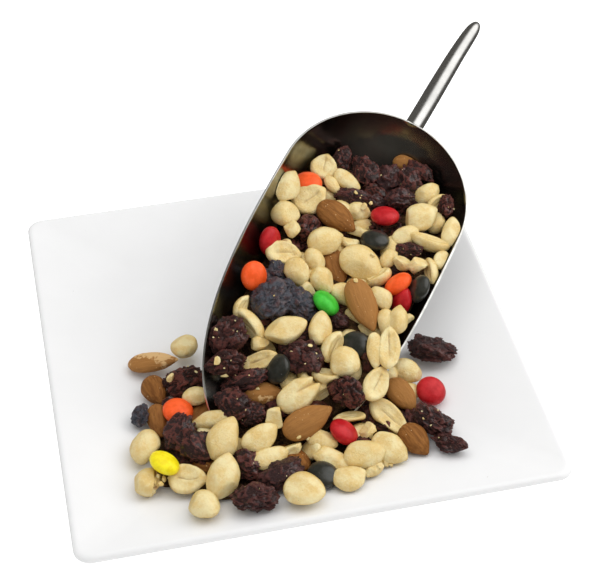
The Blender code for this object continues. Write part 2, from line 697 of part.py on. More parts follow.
def scoop_core():
    """Filling of the scoop under its top layer, from the back edge of the heap to the lip."""
    reach_back = BACK_REACH - BACK_EDGE
    clear = SHEET / 2 + GAP + CORE_CLEAR
    rings = []
    for s in np.linspace(reach_back, SCOOP_LENGTH - CORE_TIP, 15):
        radius = float(scoop_radius(s)) - clear
        edge = []
        for side in (-1, 1):
            limit = math.acos(min(-float(rim_height(s)) / float(scoop_radius(s)), 1.0)) - 0.03
            turns = np.linspace(0, limit, 60)
            points = from_scoop(side * radius * np.sin(turns), s, -radius * np.cos(turns))
            under = points[:, 2] < filled_level(points) - CORE_SINK
            edge.append(turns[under][-1] if under.any() else 0.02)
        turn = np.linspace(-edge[0], edge[1], 13)
        wall = from_scoop(radius * np.sin(turn), s, -radius * np.cos(turn))
        share = np.linspace(0, 1, 8)[1:-1]
        top = wall[-1] + (wall[0] - wall[-1]) * share[:, None]
        top[:, 2] = np.maximum(filled_level(top) - CORE_SINK, top[:, 2])
        rings.append(np.vstack([wall, top]))
    return loft("scoop_core", rings)


def spill_core():
    """Low mound on the plate inside the outline, in rings round its middle."""
    edge = np.vstack([OUTLINE, MOUND_UNDER_SCOOP]) - MOUND_MIDDLE
    angles = np.arctan2(edge[:, 1], edge[:, 0])
    order = np.argsort(angles)
    turn = np.linspace(-math.pi, math.pi, MOUND_SIDES + 1)[:-1]
    distance = np.minimum(np.linalg.norm(edge, axis=1), CORE_REACH)
    reach = np.interp(turn, angles[order], distance[order], period=2 * math.pi) - CORE_INSET
    layers = []
    for share in MOUND_SHARES:
        flat = MOUND_MIDDLE + (share * reach)[:, None] * np.column_stack([np.cos(turn), np.sin(turn)])
        x, y = flat.T
        floor = plate_height(x, y) + GAP + 0.2
        level = np.minimum(spill_level(x, y), scoop_level(x, y))
        top = np.maximum(level - CORE_SINK, floor + MOUND_LEAST)
        layers.append((np.column_stack([flat, floor]), np.column_stack([flat, top])))
    rings = [low for low, _ in reversed(layers)] + [high for _, high in layers]
    return loft("spill_core", rings)


def join_heap(pieces, loose, collection, surface):
    """Core, filling and pieces joined into one solid, cut clear of the dish and of the loose pieces."""
    parts = add_collection("heap_pieces")
    for i, piece in enumerate(pieces):
        add_object(f"piece_{i}", piece_mesh(piece, f"piece_{i}", *HEAP_SIDES), parts)
    add_object("spill", spill_core(), parts)
    heap = add_object("trail_mix", scoop_core(), collection, surface)
    join = heap.modifiers.new("pieces", "BOOLEAN")
    join.operation = "UNION"
    join.operand_type = "COLLECTION"
    join.collection = parts
    join.solver = "MANIFOLD"
    apply_modifiers(heap)
    remove_objects(parts.objects)

    rings = [rounded_square(*row) for row in plate_top_profile()]
    for ring in rings:
        ring[:, 2] += GAP
    below = rings[-1].copy()
    below[:, 2] = -5.0
    add_object("plate_room", loft("plate_room", [*rings, below]), parts)
    scoop_object("scoop_room", parts, None, SHEET + 2 * GAP, GAP)
    for i, piece in enumerate(loose):
        add_object(f"loose_room_{i}", piece_mesh(piece, f"loose_room_{i}", *LOOSE_SIDES, GAP), parts)
    cut = heap.modifiers.new("dish", "BOOLEAN")
    cut.operation = "DIFFERENCE"
    cut.operand_type = "COLLECTION"
    cut.collection = parts
    cut.solver = "MANIFOLD"
    apply_modifiers(heap)
    remove_objects(parts.objects)
    bpy.data.collections.remove(parts)
    keep_largest(heap.data)
    thin = heap.modifiers.new("fewer_sides", "DECIMATE")
    thin.ratio = KEPT_SHARE
    apply_modifiers(heap)
    return heap


def keep_largest(mesh):
    """Drops scraps that came loose and the walls of hollows that were sealed."""
    shape = bmesh.new()
    shape.from_mesh(mesh)
    bmesh.ops.triangulate(shape, faces=shape.faces)
    seen, bodies = set(), []
    for vertex in shape.verts:
        if vertex in seen:
            continue
        body, front = set(), [vertex]
        seen.add(vertex)
        while front:
            here = front.pop()
            body.add(here)
            for edge in here.link_edges:
                other = edge.other_vert(here)
                if other not in seen:
                    seen.add(other)
                    front.append(other)
        bodies.append(body)
    largest = max(bodies, key=len)
    scrap = [v for body in bodies if body is not largest for v in body]
    bmesh.ops.delete(shape, geom=scrap, context="VERTS")
    shape.to_mesh(mesh)
    shape.free()


def main():
    remove_objects(bpy.data.objects)
    parts = add_collection(COLLECTION)
    white = material("white_glaze", (0.83, 0.83, 0.82), 0.18)
    steel = material("polished_steel", (0.62, 0.61, 0.59), 0.14, 1.0)
    looks = {
        "mix": material("mixed_nuts", (0.62, 0.47, 0.25), 0.5),
        "almond": material("almond_skin", (0.36, 0.17, 0.07), 0.55),
        "nut": material("pale_peanut", (0.76, 0.63, 0.36), 0.45),
        "raisin": material("dark_raisin", (0.05, 0.025, 0.02), 0.5),
        "yellow": material("yellow_candy", (0.80, 0.68, 0.03), 0.3),
        "red": material("red_candy", (0.50, 0.02, 0.02), 0.3),
    }

    add_object("plate", plate_mesh(), parts, white)
    scoop_object("scoop_bowl", parts, steel, SHEET)
    handle_object(parts, steel)
    pieces = [Piece(*row) for row in PIECES]
    loose = [Piece(*row[1:]) for row in LOOSE]
    settle(pieces + loose)
    for piece in pieces:
        seat(piece)
    join_heap(pieces, loose, parts, looks["mix"])
    for row, piece in zip(LOOSE, loose):
        look = row[0].split("_")[1] if piece.kind == "candy" else piece.kind
        add_object(row[0], piece_mesh(piece, row[0], *LOOSE_SIDES), parts, looks[look])
    for obj in parts.objects:
        obj.data.shade_smooth()
        obj.data.set_sharp_from_angle(angle=math.radians(35))
    stand_on_origin(parts)


def stand_on_origin(parts):
    """Parents everything to an empty that puts the middle of the footprint, on the table, at the origin."""
    graph = bpy.context.evaluated_depsgraph_get()
    corners = np.array([c for obj in parts.objects for c in obj.evaluated_get(graph).bound_box])
    low, high = corners.min(0), corners.max(0)
    base = bpy.data.objects.new("set_base", None)
    parts.objects.link(base)
    base.location = (-(low[0] + high[0]) / 2, -(low[1] + high[1]) / 2, -low[2])
    for obj in parts.objects:
        if obj is not base:
            obj.parent = base


main()
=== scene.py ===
"""Trail mix in a polished steel scoop on a square white plate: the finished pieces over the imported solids.

Lengths are in millimetres in a frame with the plate's middle at x = y = 0 and the table at z = 0.
They are turned into metres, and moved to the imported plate, when a mesh is made.
"""

import math

import bmesh
import bpy
import numpy as np
from bpy.props import FloatProperty, FloatVectorProperty, IntProperty, PointerProperty
from mathutils import Matrix, Vector, noise


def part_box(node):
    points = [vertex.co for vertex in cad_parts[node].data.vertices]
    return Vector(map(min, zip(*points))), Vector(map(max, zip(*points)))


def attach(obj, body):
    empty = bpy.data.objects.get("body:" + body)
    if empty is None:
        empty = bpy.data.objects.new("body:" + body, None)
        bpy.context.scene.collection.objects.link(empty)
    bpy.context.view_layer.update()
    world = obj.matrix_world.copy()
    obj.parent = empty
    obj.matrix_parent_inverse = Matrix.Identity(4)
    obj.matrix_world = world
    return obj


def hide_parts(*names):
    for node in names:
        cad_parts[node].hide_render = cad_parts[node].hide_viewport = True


bl_info = {
    "name": "Trail mix scoop",
    "version": (1, 0, 0),
    "blender": (4, 5, 0),
    "location": "3D View > Sidebar > Trail mix",
    "description": "Nuts, dried fruit and coated candies in a steel scoop on a square plate",
    "category": "Object",
}

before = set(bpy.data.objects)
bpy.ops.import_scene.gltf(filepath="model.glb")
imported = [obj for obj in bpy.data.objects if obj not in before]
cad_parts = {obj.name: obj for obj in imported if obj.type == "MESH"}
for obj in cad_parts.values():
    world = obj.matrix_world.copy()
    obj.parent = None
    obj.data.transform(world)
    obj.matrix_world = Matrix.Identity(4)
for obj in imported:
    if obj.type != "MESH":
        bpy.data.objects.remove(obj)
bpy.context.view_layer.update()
PLATE_LOW, PLATE_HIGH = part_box("plate")

MM = 0.001
SHIFT = np.array([(PLATE_LOW.x + PLATE_HIGH.x) / 2, (PLATE_LOW.y + PLATE_HIGH.y) / 2, PLATE_LOW.z])
GAP = 0.35

# Plate
PLATE_SIDE = round((PLATE_HIGH.x - PLATE_LOW.x) / MM, 1)
PLATE_CORNER = 7.0
RIM_TOP = 17.0
RIM_DEPTH = 3.6
WELL_HALF = 66.0
WELL_CORNER = 11.0
WELL_TOP = 8.0
FOOT_HALF = 68.0
FOOT_WIDTH = 4.0
FOOT_RECESS = 2.2
MIDDLE_HALF = 14.0
RIM_ROUND = 2.2
RIM_PLAIN = 5.4
BEND_REACH = 3.2
UNDER_IN = 1.8
UNDER_REACH = 3.0
UNDER_END = 3.4

# Foot ring's section, outside and inside: how far out, and height
FOOT_OUTSIDE = ((1.4, 1.6), (0.5, 0.45), (-0.4, 0.0))
FOOT_INSIDE = ((0.4, 0.0), (-0.5, 0.5), (-1.0, FOOT_RECESS - 0.2), (-2.0, FOOT_RECESS))

# Scoop
SCOOP_RADIUS = 44.8
BACK_STRETCH = 1.19
SCOOP_LENGTH = 185.7
RIM_DROP = -6.8
LIP_POWER = 2.35
SHEET = 1.4
SCOOP_HEADING = math.radians(34.6)
SCOOP_PITCH = math.radians(4.0)
SCOOP_ROLL = math.radians(-17.0)
SCOOP_CENTRE = np.array([55.7, 42.4, 62.5])

# Tube handle, as (sideways, behind the centre, above the axis, radius)
HANDLE_ROUTE = (
    (0.6, 46.0, -13.0, 4.7),
    (1.7, 60.0, -9.8, 4.7),
    (2.8, 82.0, -5.0, 4.6),
    (3.8, 102.0, -1.6, 4.3),
    (4.8, 116.0, 0.2, 4.0),
    (5.5, 124.0, 1.0, 3.5),
    (5.9, 128.2, 1.3, 2.3),
    (6.1, 129.8, 1.4, 0.9),
)

# Share of the route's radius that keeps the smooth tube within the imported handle
HANDLE_FIT = 0.96

# Heap
LEVEL = -16.0
LEVEL_TILT = 0.16
WALL_BANK = 5.0
BACK_EDGE = 30.0
SPILL_EDGE = 7.0
SPILL_SLOPE = 0.33
MOUTH_START = 76.0
MOUTH_END = 114.0
CORE_SINK = 4.8
CORE_INSET = 6.0
CORE_REACH = 64.0
PIECE_ROOT = 1.4
PIECE_SINK = 3.4
STEEPEST = 0.6
BED_SINK = 11.0
BELOW_SINK = 8.4
BELOW_SPACING = 8.4
SETTLED_SHARE = 0.25
FACING_EYE = 0.8
RAISIN_SHOWN = 1.12
CHIP_LENGTH = 10.6
SPILL_TOP = 32.0
MOUTH_TOP = 22.0
BELOW_LOOKS = ("nut", "raisin", "plum", "raisin", "almond")
FILLING_GAP = 1.0
FILLING_MIDDLE = np.array([-14.0, -52.0])
FILLING_UNDER_SCOOP = np.array([(48.0, -18.0), (12.0, -30.0), (-20.0, -24.0), (-36.0, -2.0)])
FILLING_LAYERS = (1.0, 0.94, 0.88, 0.8, 0.7, 0.58, 0.45, 0.3, 0.15)
HIDING_OVERLAP = 3.0
HIDING_DEPTH = 1.0
THROUGH_LIMIT = 8.0
RISING_STEPS = 16
RISING_STEP = 0.5
SIDE_LEAN = (42.0, 62.0)

# Settling: shares of a push and of the way back that a piece follows in a round, and its largest turn
PUSH_SHARE = 0.6
HOLD_ALONG = 0.04
HOLD_ACROSS = 0.10
LARGEST_TURN = 0.12

# The reference picture is 600 by 587 pixels: where its eye is, and its focal length in pixels
PICTURE_WIDTH = 600.0
PICTURE_MIDDLE = (300.0, 293.5)
FOCAL = 1549.2
EYE_AZIMUTH = math.radians(-12.41)
EYE_HEIGHT = math.radians(43.93)
EYE_DISTANCE = 726.4
EYE_TARGET = np.array([15.6, 27.0, 16.0])

# Outer edge of the spilled mix in the picture, from the scoop's left side round the front to its right side
SPILL_OUTLINE = (
    (176, 331), (136, 356), (136, 400), (134, 450), (136, 492), (165, 496), (205, 517), (254, 513),
    (304, 501), (358, 488), (405, 464), (450, 452), (464, 444), (446, 392), (450, 350), (418, 333),
)

# Kinds: length, width and thickness
KINDS = {
    "nut": (15.0, 11.0, 9.0),
    "half": (15.0, 9.5, 5.6),
    "almond": (22.0, 12.5, 8.0),
    "candy": (13.5, 13.5, 7.2),
    "raisin": (15.0, 11.0, 8.0),
}
RAISIN_SWELL = 1.08

# Looks, and the kind that each is a look of
LOOKS = {
    "nut": "nut", "seam": "nut", "lobes": "nut", "split": "nut", "roast": "nut",
    "dome": "half", "face": "half", "side": "half",
    "almond": "almond", "tan": "almond", "peeled": "almond", "amber": "almond",
    "red": "candy", "orange": "candy", "yellow": "candy", "green": "candy", "dark": "candy",
    "raisin": "raisin", "plum": "raisin", "bloom": "raisin",
}

# How much of a look's second finish a piece has: peeled almond skin, roast, or bloom on fruit; the peanut
# material does not read the roast share.
EXTRA_SHARE = {"peeled": 1.0, "tan": 0.45, "amber": 0.3, "bloom": 1.0, "plum": 0.10, "roast": 1.0}

# Pieces that show: look, picture position, heading in the picture, length, width, lift over the level.
# A candy has its tilt to the line of sight in place of a length and a width.
PIECES = (
    ("face", 324, 167, 70, 13, 12, 1), ("dome", 347, 181, -38, 15, 8, 1),
    ("dome", 333, 185, -50, 11, 6, -1), ("dome", 287, 187, 68, 16, 11.5, 2),
    ("orange", 308, 183, 0, 46, 0, -2), ("face", 309, 199, 20, 16, 14, 2),
    ("nut", 285, 214, -10, 13, 12, -1), ("nut", 292, 229, -60, 9, 7, -1),
    ("raisin", 308, 228, 60, 13, 12, 0), ("almond", 337, 217, -37, 22, 13, 1),
    ("plum", 352, 197, -10, 15, 8, 0), ("plum", 375, 203, 0, 11, 8, -1), ("nut", 358, 212, -10, 11, 9, -3),
    ("red", 385, 216, -3, 60, 0, 1), ("dark", 375, 240, -5, 55, 0, 1), ("nut", 358, 232, 0, 9, 7, -3),
    ("nut", 350, 243, -40, 9, 8, -2), ("plum", 341, 160, 80, 13, 9, 0), ("plum", 366, 172, -60, 15, 11, 0),
    ("plum", 388, 180, 70, 15, 12, 0), ("plum", 408, 182, -70, 16, 11, 1),
    ("plum", 420, 173, -40, 13, 8, -1), ("amber", 405, 163, -10, 12, 8, -3),
    ("plum", 400, 198, 20, 13, 9, -1), ("nut", 427, 194, 30, 13, 9.5, 0), ("side", 437, 203, 35, 11, 6.5, 0),
    ("nut", 420, 217, 20, 16, 13, 1), ("nut", 436, 223, 60, 11, 8, -3), ("dome", 406, 235, 25, 13, 8.5, 1),
    ("side", 430, 241, 168, 18, 9, 1), ("dome", 451, 232, 72, 15.5, 8, 0),
    ("raisin", 446, 206, 80, 12, 8, 0), ("dome", 442, 260, 60, 10.5, 7.5, 0),
    ("side", 430, 271, -75, 13, 7, -1), ("nut", 419, 265, 30, 9, 8, 0), ("nut", 403, 263, -10, 9, 7, 0),
    ("dome", 389, 258, 50, 10.5, 7, 0), ("plum", 410, 251, -10, 12, 7, -2),
    ("nut", 361, 263, -25, 20, 15, 2), ("side", 377, 277, 200, 13.5, 8.5, 1),
    ("orange", 398, 284, 38, 66, 0, 0), ("dark", 419, 289, 62, 68, 0, 0), ("nut", 325, 241, 15, 16, 13, 1),
    ("seam", 315, 261, -70, 13, 8, 0), ("nut", 298, 271, -60, 13, 11.5, 2),
    ("nut", 322, 280, -60, 13, 10, 0), ("nut", 308, 290, -60, 8, 6.5, -1),
    ("face", 283, 253, -5, 15.5, 11, 1), ("red", 270, 241, 80, -60, 0, 0),
    ("orange", 254, 276, 88, -40, 0, 1), ("bloom", 277, 271, -70, 11, 8, -1),
    ("almond", 335, 268, -62, 22, 12, -4), ("green", 326, 303, -42, 64, 0, 2),
    ("tan", 363, 305, -63, 28, 13, 1), ("nut", 381, 298, -60, 12, 9.5, 2),
    ("nut", 386, 323, -80, 13, 8, 0), ("seam", 398, 320, 70, 13, 8.5, 0), ("nut", 407, 319, 0, 6, 5, -2),
    ("red", 401, 301, 80, 60, 0, -4), ("bloom", 271, 300, 30, 19, 15, 1),
    ("bloom", 299, 304, -50, 16, 12, 0), ("bloom", 285, 287, 0, 11, 7, 0),
    ("nut", 320, 328, 80, 15.5, 9.5, 1), ("plum", 338, 320, -40, 10, 7, -3),
    ("side", 333, 347, 60, 14, 9, 1), ("nut", 345, 362, -30, 13, 12.5, 1),
    ("dark", 355, 345, 10, 36, 0, -2), ("dome", 375, 350, -85, 15.5, 7, 0),
    ("face", 389, 348, 85, 18.5, 9, 2), ("nut", 286, 330, 18, 18.5, 11.5, 2),
    ("nut", 259, 343, 10, 8, 6, -1), ("side", 249, 325, -52, 17, 9.5, 0),
    ("side", 242, 307, 62, 10.5, 6.5, 0),
    ("face", 259, 361, 15, 16, 8.5, 0), ("raisin", 226, 338, 60, 19, 16, 3),
    ("raisin", 225, 363, 0, 17, 11, 0), ("dark", 278, 369, 62, 50, 0, 1),
    ("raisin", 304, 358, -20, 17, 14, 0), ("plum", 292, 346, 20, 12, 8, -1),
    ("side", 326, 375, 165, 11.5, 8, 0), ("raisin", 348, 391, -50, 15, 13, 0),
    ("face", 376, 384, 60, 16, 10.5, 6), ("side", 322, 392, 35, 10.5, 7, -2),
    ("lobes", 299, 394, 35, 20, 13, 2), ("peeled", 264, 393, -5, 17, 10, -3),
    ("plum", 243, 380, 15, 19, 9, 0), ("plum", 232, 402, -30, 15, 12, -2), ("plum", 252, 414, 0, 12, 9, -2),
    ("nut", 275, 418, 15, 10.5, 9, 0), ("tan", 308, 421, 25, 24, 13, 1),
    ("dome", 260, 438, 35, 16, 10.5, 1), ("dome", 270, 458, 15, 15.5, 9.5, 1),
    ("nut", 291, 449, 30, 9, 6, -2),
    ("dome", 322, 440, -25, 13, 9, 0), ("red", 344, 432, -38, 60, 0, 2), ("side", 350, 417, 185, 13, 6, -1),
    ("nut", 367, 431, 20, 8.5, 7, 0), ("face", 389, 417, -42, 20, 10, 2),
    ("tan", 402, 395, -45, 18, 12, 0), ("nut", 407, 371, -20, 14, 10, 0),
    ("almond", 415, 440, -45, 17, 12, 0), ("nut", 364, 455, 10, 17, 12, 1),
    ("nut", 389, 448, -30, 16, 13, 1), ("dome", 333, 459, -17, 19, 8.5, 1), ("dome", 350, 478, 5, 14, 11, 0),
    ("nut", 374, 470, 30, 9, 5, -2), ("dark", 323, 475, -15, 40, 0, -1), ("plum", 281, 474, 30, 18, 12, 0),
    ("plum", 248, 464, -10, 15, 12, 0), ("nut", 224, 439, 60, 19, 13, 2),
    ("nut", 223, 477, 65, 19, 12.5, 1), ("face", 187, 479, -8, 16, 12.5, 1),
    ("almond", 204, 465, -20, 12, 9, -3), ("plum", 179, 432, 70, 15, 13, 1),
    ("plum", 196, 447, -40, 16, 12, 1), ("orange", 178, 411, -10, 46, 0, 1),
    ("dome", 212, 419, 10, 18, 7, 1), ("nut", 196, 396, 10, 12, 8, -1), ("raisin", 184, 381, 20, 17, 13, 1),
    ("almond", 155, 391, -55, 16, 11, 0), ("almond", 158, 421, -70, 17, 9.5, -1),
    ("raisin", 369, 412, 60, 10, 7, -3),
)

# Pieces that lie apart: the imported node, then as above
LOOSE = (
    ("almond_loose", "peeled", 153, 362, 15, 23.5, 10.5, 0),
    ("peanut_loose_left", "nut", 184, 347, -60, 13, 11.5, 0),
    ("raisin_loose_left", "bloom", 144, 417, 75, 11, 8, 0),
    ("peanut_loose_corner", "nut", 146, 446, 70, 17, 12, 0),
    ("candy_yellow_loose", "yellow", 163, 466, -10, 46, 0, 2),
    ("peanut_split_loose", "split", 150, 481, 60, 14, 12, 0),
    ("peanut_loose_front", "nut", 206, 504, -45, 15, 12, 0),
    ("raisin_loose_front", "plum", 254, 498, -20, 16, 14, 0),
    ("peanut_yellow_loose", "roast", 304, 488, -10, 16.5, 15, 0),
    ("raisin_loose_back", "plum", 430, 349, -15, 20, 13, 0),
    ("candy_red_loose", "red", 431, 391, -30, 30, 0, 0),
    ("raisin_loose_right", "plum", 431, 420, -32, 18, 11, 0),
    ("raisin_loose_tail", "plum", 450, 443, -32, 14, 8, 0),
)

# Crumbs on the pieces: picture position and length
CRUMBS = (
    (163, 479, 3.6), (160, 484, 2.8), (167, 485, 2.6), (158, 476, 2.2), (164, 490, 2.0), (169, 478, 1.8),
    (216, 330, 2.4), (217, 361, 3.8), (239, 353, 2.4), (225, 375, 3.6), (172, 378, 4.6), (206, 352, 2.0),
    (385, 462, 4.2), (379, 467, 3.0), (391, 464, 2.4), (304, 441, 3.2), (309, 438, 2.6), (299, 437, 2.2),
    (363, 207, 4.0), (356, 193, 2.2), (371, 203, 2.0), (258, 389, 1.8), (196, 372, 1.6), (372, 256, 2.4),
    (356, 281, 2.6), (310, 346, 2.0), (292, 352, 1.6), (241, 371, 1.6), (425, 347, 1.8), (437, 412, 2.0),
)
# Finer crumbs at random on the fruit: how many, the part of the picture that they are in, their lengths
DUST_COUNT = 90
DUST_AREA = ((130, 150), (460, 510))
DUST_LENGTHS = (0.4, 1.1)

# Lights, out of sight in what mirrors them: name, place and size in metres
LIGHTS = (("key", (0.02, 0.20, 1.10), 1.4), ("fill", (0.80, 0.05, 0.70), 0.8))
LIT_POINT = Vector((0, 0, 0.03))
FLOOR_REACH = 3.0


# Settings


def colour_setting(name, description, colour):
    return FloatVectorProperty(
        name=name, description=description, subtype="COLOR", size=3, min=0.0, max=1.0, default=colour,
    )


def roughness_setting(description, roughness):
    return FloatProperty(name="Roughness", description=description, default=roughness, min=0.0, max=1.0)


class PlateSettings(bpy.types.PropertyGroup):
    glaze: colour_setting("Glaze", "Colour of the plate's glaze", (0.85, 0.85, 0.85))
    gloss: roughness_setting("Roughness of the glaze", 0.22)


class ScoopSettings(bpy.types.PropertyGroup):
    steel: colour_setting("Steel", "Colour of the polished sheet", (0.72, 0.71, 0.69))
    sheet: FloatProperty(
        name="Sheet", description="Thickness of the scoop's sheet", subtype="DISTANCE", unit="LENGTH",
        default=0.9 * MM, min=0.0005, max=0.003,
    )


class NutSettings(bpy.types.PropertyGroup):
    peanut: colour_setting("Peanut", "Pale colour of a blanched peanut", (0.84, 0.715, 0.385))
    peanut_deep: colour_setting("Peanut, deep", "Colour of its darker areas", (0.74, 0.53, 0.20))
    # The furrow colour is painted shade in the skin's furrows, set against the ridges' colour.
    almond: colour_setting("Almond skin", "Colour of the skin's ridges", (0.29, 0.118, 0.028))
    almond_deep: colour_setting("Almond furrow", "Colour of the skin's furrows", (0.16, 0.058, 0.014))


class FruitSettings(bpy.types.PropertyGroup):
    # The crease colour is painted shade that the fruit's creases are drawn in; the skin colour is for its
    # raised parts.
    skin: colour_setting("Skin", "Colour of a raisin's raised skin", (0.150, 0.044, 0.033))
    crease: colour_setting("Crease", "Colour of a raisin's creases", (0.034, 0.014, 0.011))
    bloom: colour_setting("Bloom", "Blue-grey bloom on some of the fruit", (0.085, 0.090, 0.108))


class CandySettings(bpy.types.PropertyGroup):
    red: colour_setting("Red", "Red shell", (0.47, 0.008, 0.012))
    orange: colour_setting("Orange", "Orange shell", (0.96, 0.105, 0.014))
    yellow: colour_setting("Yellow", "Yellow shell", (0.95, 0.76, 0.008))
    green: colour_setting("Green", "Green shell", (0.045, 0.47, 0.030))
    dark: colour_setting("Dark", "Green-black shell", (0.022, 0.022, 0.016))
    shell_gloss: roughness_setting("Roughness of the sugar shell", 0.34)


class StageSettings(bpy.types.PropertyGroup):
    key_power: FloatProperty(
        name="Key", description="Power of the large soft light above", default=5.3, min=0.0, unit="POWER",
    )
    fill_power: FloatProperty(
        name="Fill", description="Power of the light at the right", default=4.2, min=0.0, unit="POWER",
    )
    ambient: FloatProperty(name="Ambient", description="Strength of the light from all round", default=0.665)
    bed_seed: IntProperty(name="Seed", description="Draws the pieces under the top layer", default=11, min=0)


# Building meshes


def add_object(name, mesh, surface=None):
    obj = bpy.data.objects.new(name, mesh)
    bpy.context.scene.collection.objects.link(obj)
    if surface:
        mesh.materials.append(surface)
    return obj


def in_metres(points):
    return np.asarray(points, float) * MM + SHIFT


def mesh_of(name, points, faces):
    mesh = bpy.data.meshes.new(name)
    mesh.from_pydata(in_metres(points).tolist(), [], faces)
    mesh.update()
    return mesh


def face_outward(mesh):
    shape = bmesh.new()
    shape.from_mesh(mesh)
    bmesh.ops.remove_doubles(shape, verts=shape.verts, dist=1e-6)
    bmesh.ops.recalc_face_normals(shape, faces=shape.faces)
    shape.to_mesh(mesh)
    shape.free()


def loft(name, rings):
    """Closed solid through rings of the same number of points, with a flat cap on the first and the last."""
    count = len(rings[0])
    faces = [tuple(reversed(range(count)))]
    for i in range(len(rings) - 1):
        low, high = i * count, (i + 1) * count
        for j in range(count):
            k = (j + 1) % count
            faces.append((low + j, low + k, high + k, high + j))
    last = (len(rings) - 1) * count
    faces.append(tuple(range(last, last + count)))
    mesh = mesh_of(name, np.concatenate(rings), faces)
    face_outward(mesh)
    return mesh


def finished_mesh(obj):
    """The mesh of an object with its modifiers, or of a curve with its thickness."""
    graph = bpy.context.evaluated_depsgraph_get()
    return bpy.data.meshes.new_from_object(obj.evaluated_get(graph))


def apply_modifiers(obj):
    mesh = finished_mesh(obj)
    obj.modifiers.clear()
    obj.data = mesh


def finish_piece(obj, slot, *nodes, sharp=None):
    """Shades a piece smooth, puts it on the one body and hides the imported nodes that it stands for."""
    obj.data.shade_smooth()
    if sharp is not None:
        obj.data.set_sharp_from_angle(angle=math.radians(sharp))
    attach(obj, "root")
    if nodes:
        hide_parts(*nodes)
    return obj


# Plate


def rounded_square(half, corner, z, steps=12, straight=6):
    """Ring of points round a square with round corners; each side is cut into this many lengths."""
    turn = np.linspace(0, math.pi / 2, steps + 1)
    reach = half - corner
    shares = np.arange(1, straight) / straight
    ring = []
    for quarter in range(4):
        angle = turn + quarter * math.pi / 2
        middle = math.pi / 4 + quarter * math.pi / 2
        centre = reach * math.sqrt(2) * np.array([math.cos(middle), math.sin(middle)])
        arc = centre + corner * np.column_stack([np.cos(angle), np.sin(angle)])
        along = np.array([-math.sin(angle[-1]), math.cos(angle[-1])])
        ring += [*arc, *(arc[-1] + 2 * reach * shares[:, None] * along)]
    return np.column_stack([ring, np.full(len(ring), z)])


def plate_top_profile():
    """(half side, corner radius, height) of the upper face, from the well to the rim."""
    half = PLATE_SIDE / 2
    slope = (RIM_TOP - 0.5 - WELL_TOP) / (half - 3.0 - WELL_HALF)
    return [
        (WELL_HALF - 30.0, WELL_CORNER, WELL_TOP),
        (WELL_HALF - 4.0, WELL_CORNER, WELL_TOP),
        (WELL_HALF + 1.0, WELL_CORNER, WELL_TOP + slope * 2.2),
        (WELL_HALF + 6.0, WELL_CORNER, WELL_TOP + slope * 6.0),
        (half - 12.0, PLATE_CORNER + 1.5, WELL_TOP + slope * (half - 12.0 - WELL_HALF) + 0.2),
        (half - 2.2, PLATE_CORNER, RIM_TOP),
    ]


def plate_height(x, y):
    """Height of the plate's upper face at a point, read off its profile by the distance from the middle."""
    across = np.maximum(np.abs(x), np.abs(y))
    corner = np.minimum(np.abs(x), np.abs(y))
    pull = np.maximum(corner - (across - PLATE_CORNER), 0.0)
    across = across + pull * pull / (4.0 * PLATE_CORNER)
    profile = plate_top_profile()
    return np.interp(across, [row[0] for row in profile], [row[2] for row in profile])


def plate_rings():
    """The plate's section as it is glazed: soft bend from well to border, rounded rim, round foot ring."""
    half = PLATE_SIDE / 2
    edge = half - RIM_ROUND
    sides, corners, heights = zip(*plate_top_profile())
    well = np.linspace(MIDDLE_HALF, WELL_HALF - 8, 5)
    border = np.linspace(WELL_HALF - 6, edge, 44)
    rings = []
    for side in np.concatenate([well, border]):
        height = np.interp(side, sides, heights)
        if side <= half - RIM_PLAIN:
            spread = np.clip(side + np.linspace(-BEND_REACH, BEND_REACH, 9), 0, edge)
            height = np.interp(spread, sides, heights).mean()
        rings.append((side, float(np.interp(side, sides, corners)), float(height)))
    middle = RIM_TOP - RIM_DEPTH / 2
    for turn in np.radians(np.linspace(80, -80, 11)):
        out = math.cos(turn) ** 0.8
        rings.append((edge + RIM_ROUND * out, PLATE_CORNER, middle + math.sin(turn) * RIM_DEPTH / 2))
    bottom = RIM_TOP - RIM_DEPTH
    start, end = half - UNDER_IN, FOOT_HALF + UNDER_REACH
    for share in np.linspace(0.04, 1, 12):
        corner = PLATE_CORNER + (WELL_CORNER - PLATE_CORNER) * share
        rings.append((start + (end - start) * share, corner, bottom + (UNDER_END - bottom) * share))
    inner = FOOT_HALF - FOOT_WIDTH
    rings += [(FOOT_HALF + side, WELL_CORNER, height) for side, height in FOOT_OUTSIDE]
    rings += [(inner + side, WELL_CORNER - 1, height) for side, height in FOOT_INSIDE]
    rings.append((MIDDLE_HALF, WELL_CORNER, FOOT_RECESS))
    return rings


# Scoop


def scoop_axes():
    """Unit vectors of the scoop: sideways to its right, backward to the handle, and up."""
    back = np.array([
        math.sin(SCOOP_HEADING) * math.cos(SCOOP_PITCH),
        math.cos(SCOOP_HEADING) * math.cos(SCOOP_PITCH),
        math.sin(SCOOP_PITCH),
    ])
    level = np.array([math.cos(SCOOP_HEADING), -math.sin(SCOOP_HEADING), 0.0])
    up = np.cross(level, back)
    side = math.cos(SCOOP_ROLL) * level + math.sin(SCOOP_ROLL) * up
    return side, back, -math.sin(SCOOP_ROLL) * level + math.cos(SCOOP_ROLL) * up


SIDE, BACK, UP = scoop_axes()
BACK_REACH = BACK_STRETCH * SCOOP_RADIUS


def in_scoop(point):
    """Sideways distance, distance from the back of the bowl, and height over its axis."""
    away = np.asarray(point) - SCOOP_CENTRE
    return away @ SIDE, BACK_REACH - away @ BACK, away @ UP


def from_scoop(x, s, z):
    x, s, z = np.broadcast_arrays(x, s, z)
    offset = x[..., None] * SIDE + (BACK_REACH - s)[..., None] * BACK + z[..., None] * UP
    return SCOOP_CENTRE + offset


def scoop_radius(s):
    front = np.clip((BACK_REACH - np.asarray(s, float)) / BACK_REACH, 0.0, 1.0)
    return SCOOP_RADIUS * np.sqrt(1.0 - front**2)


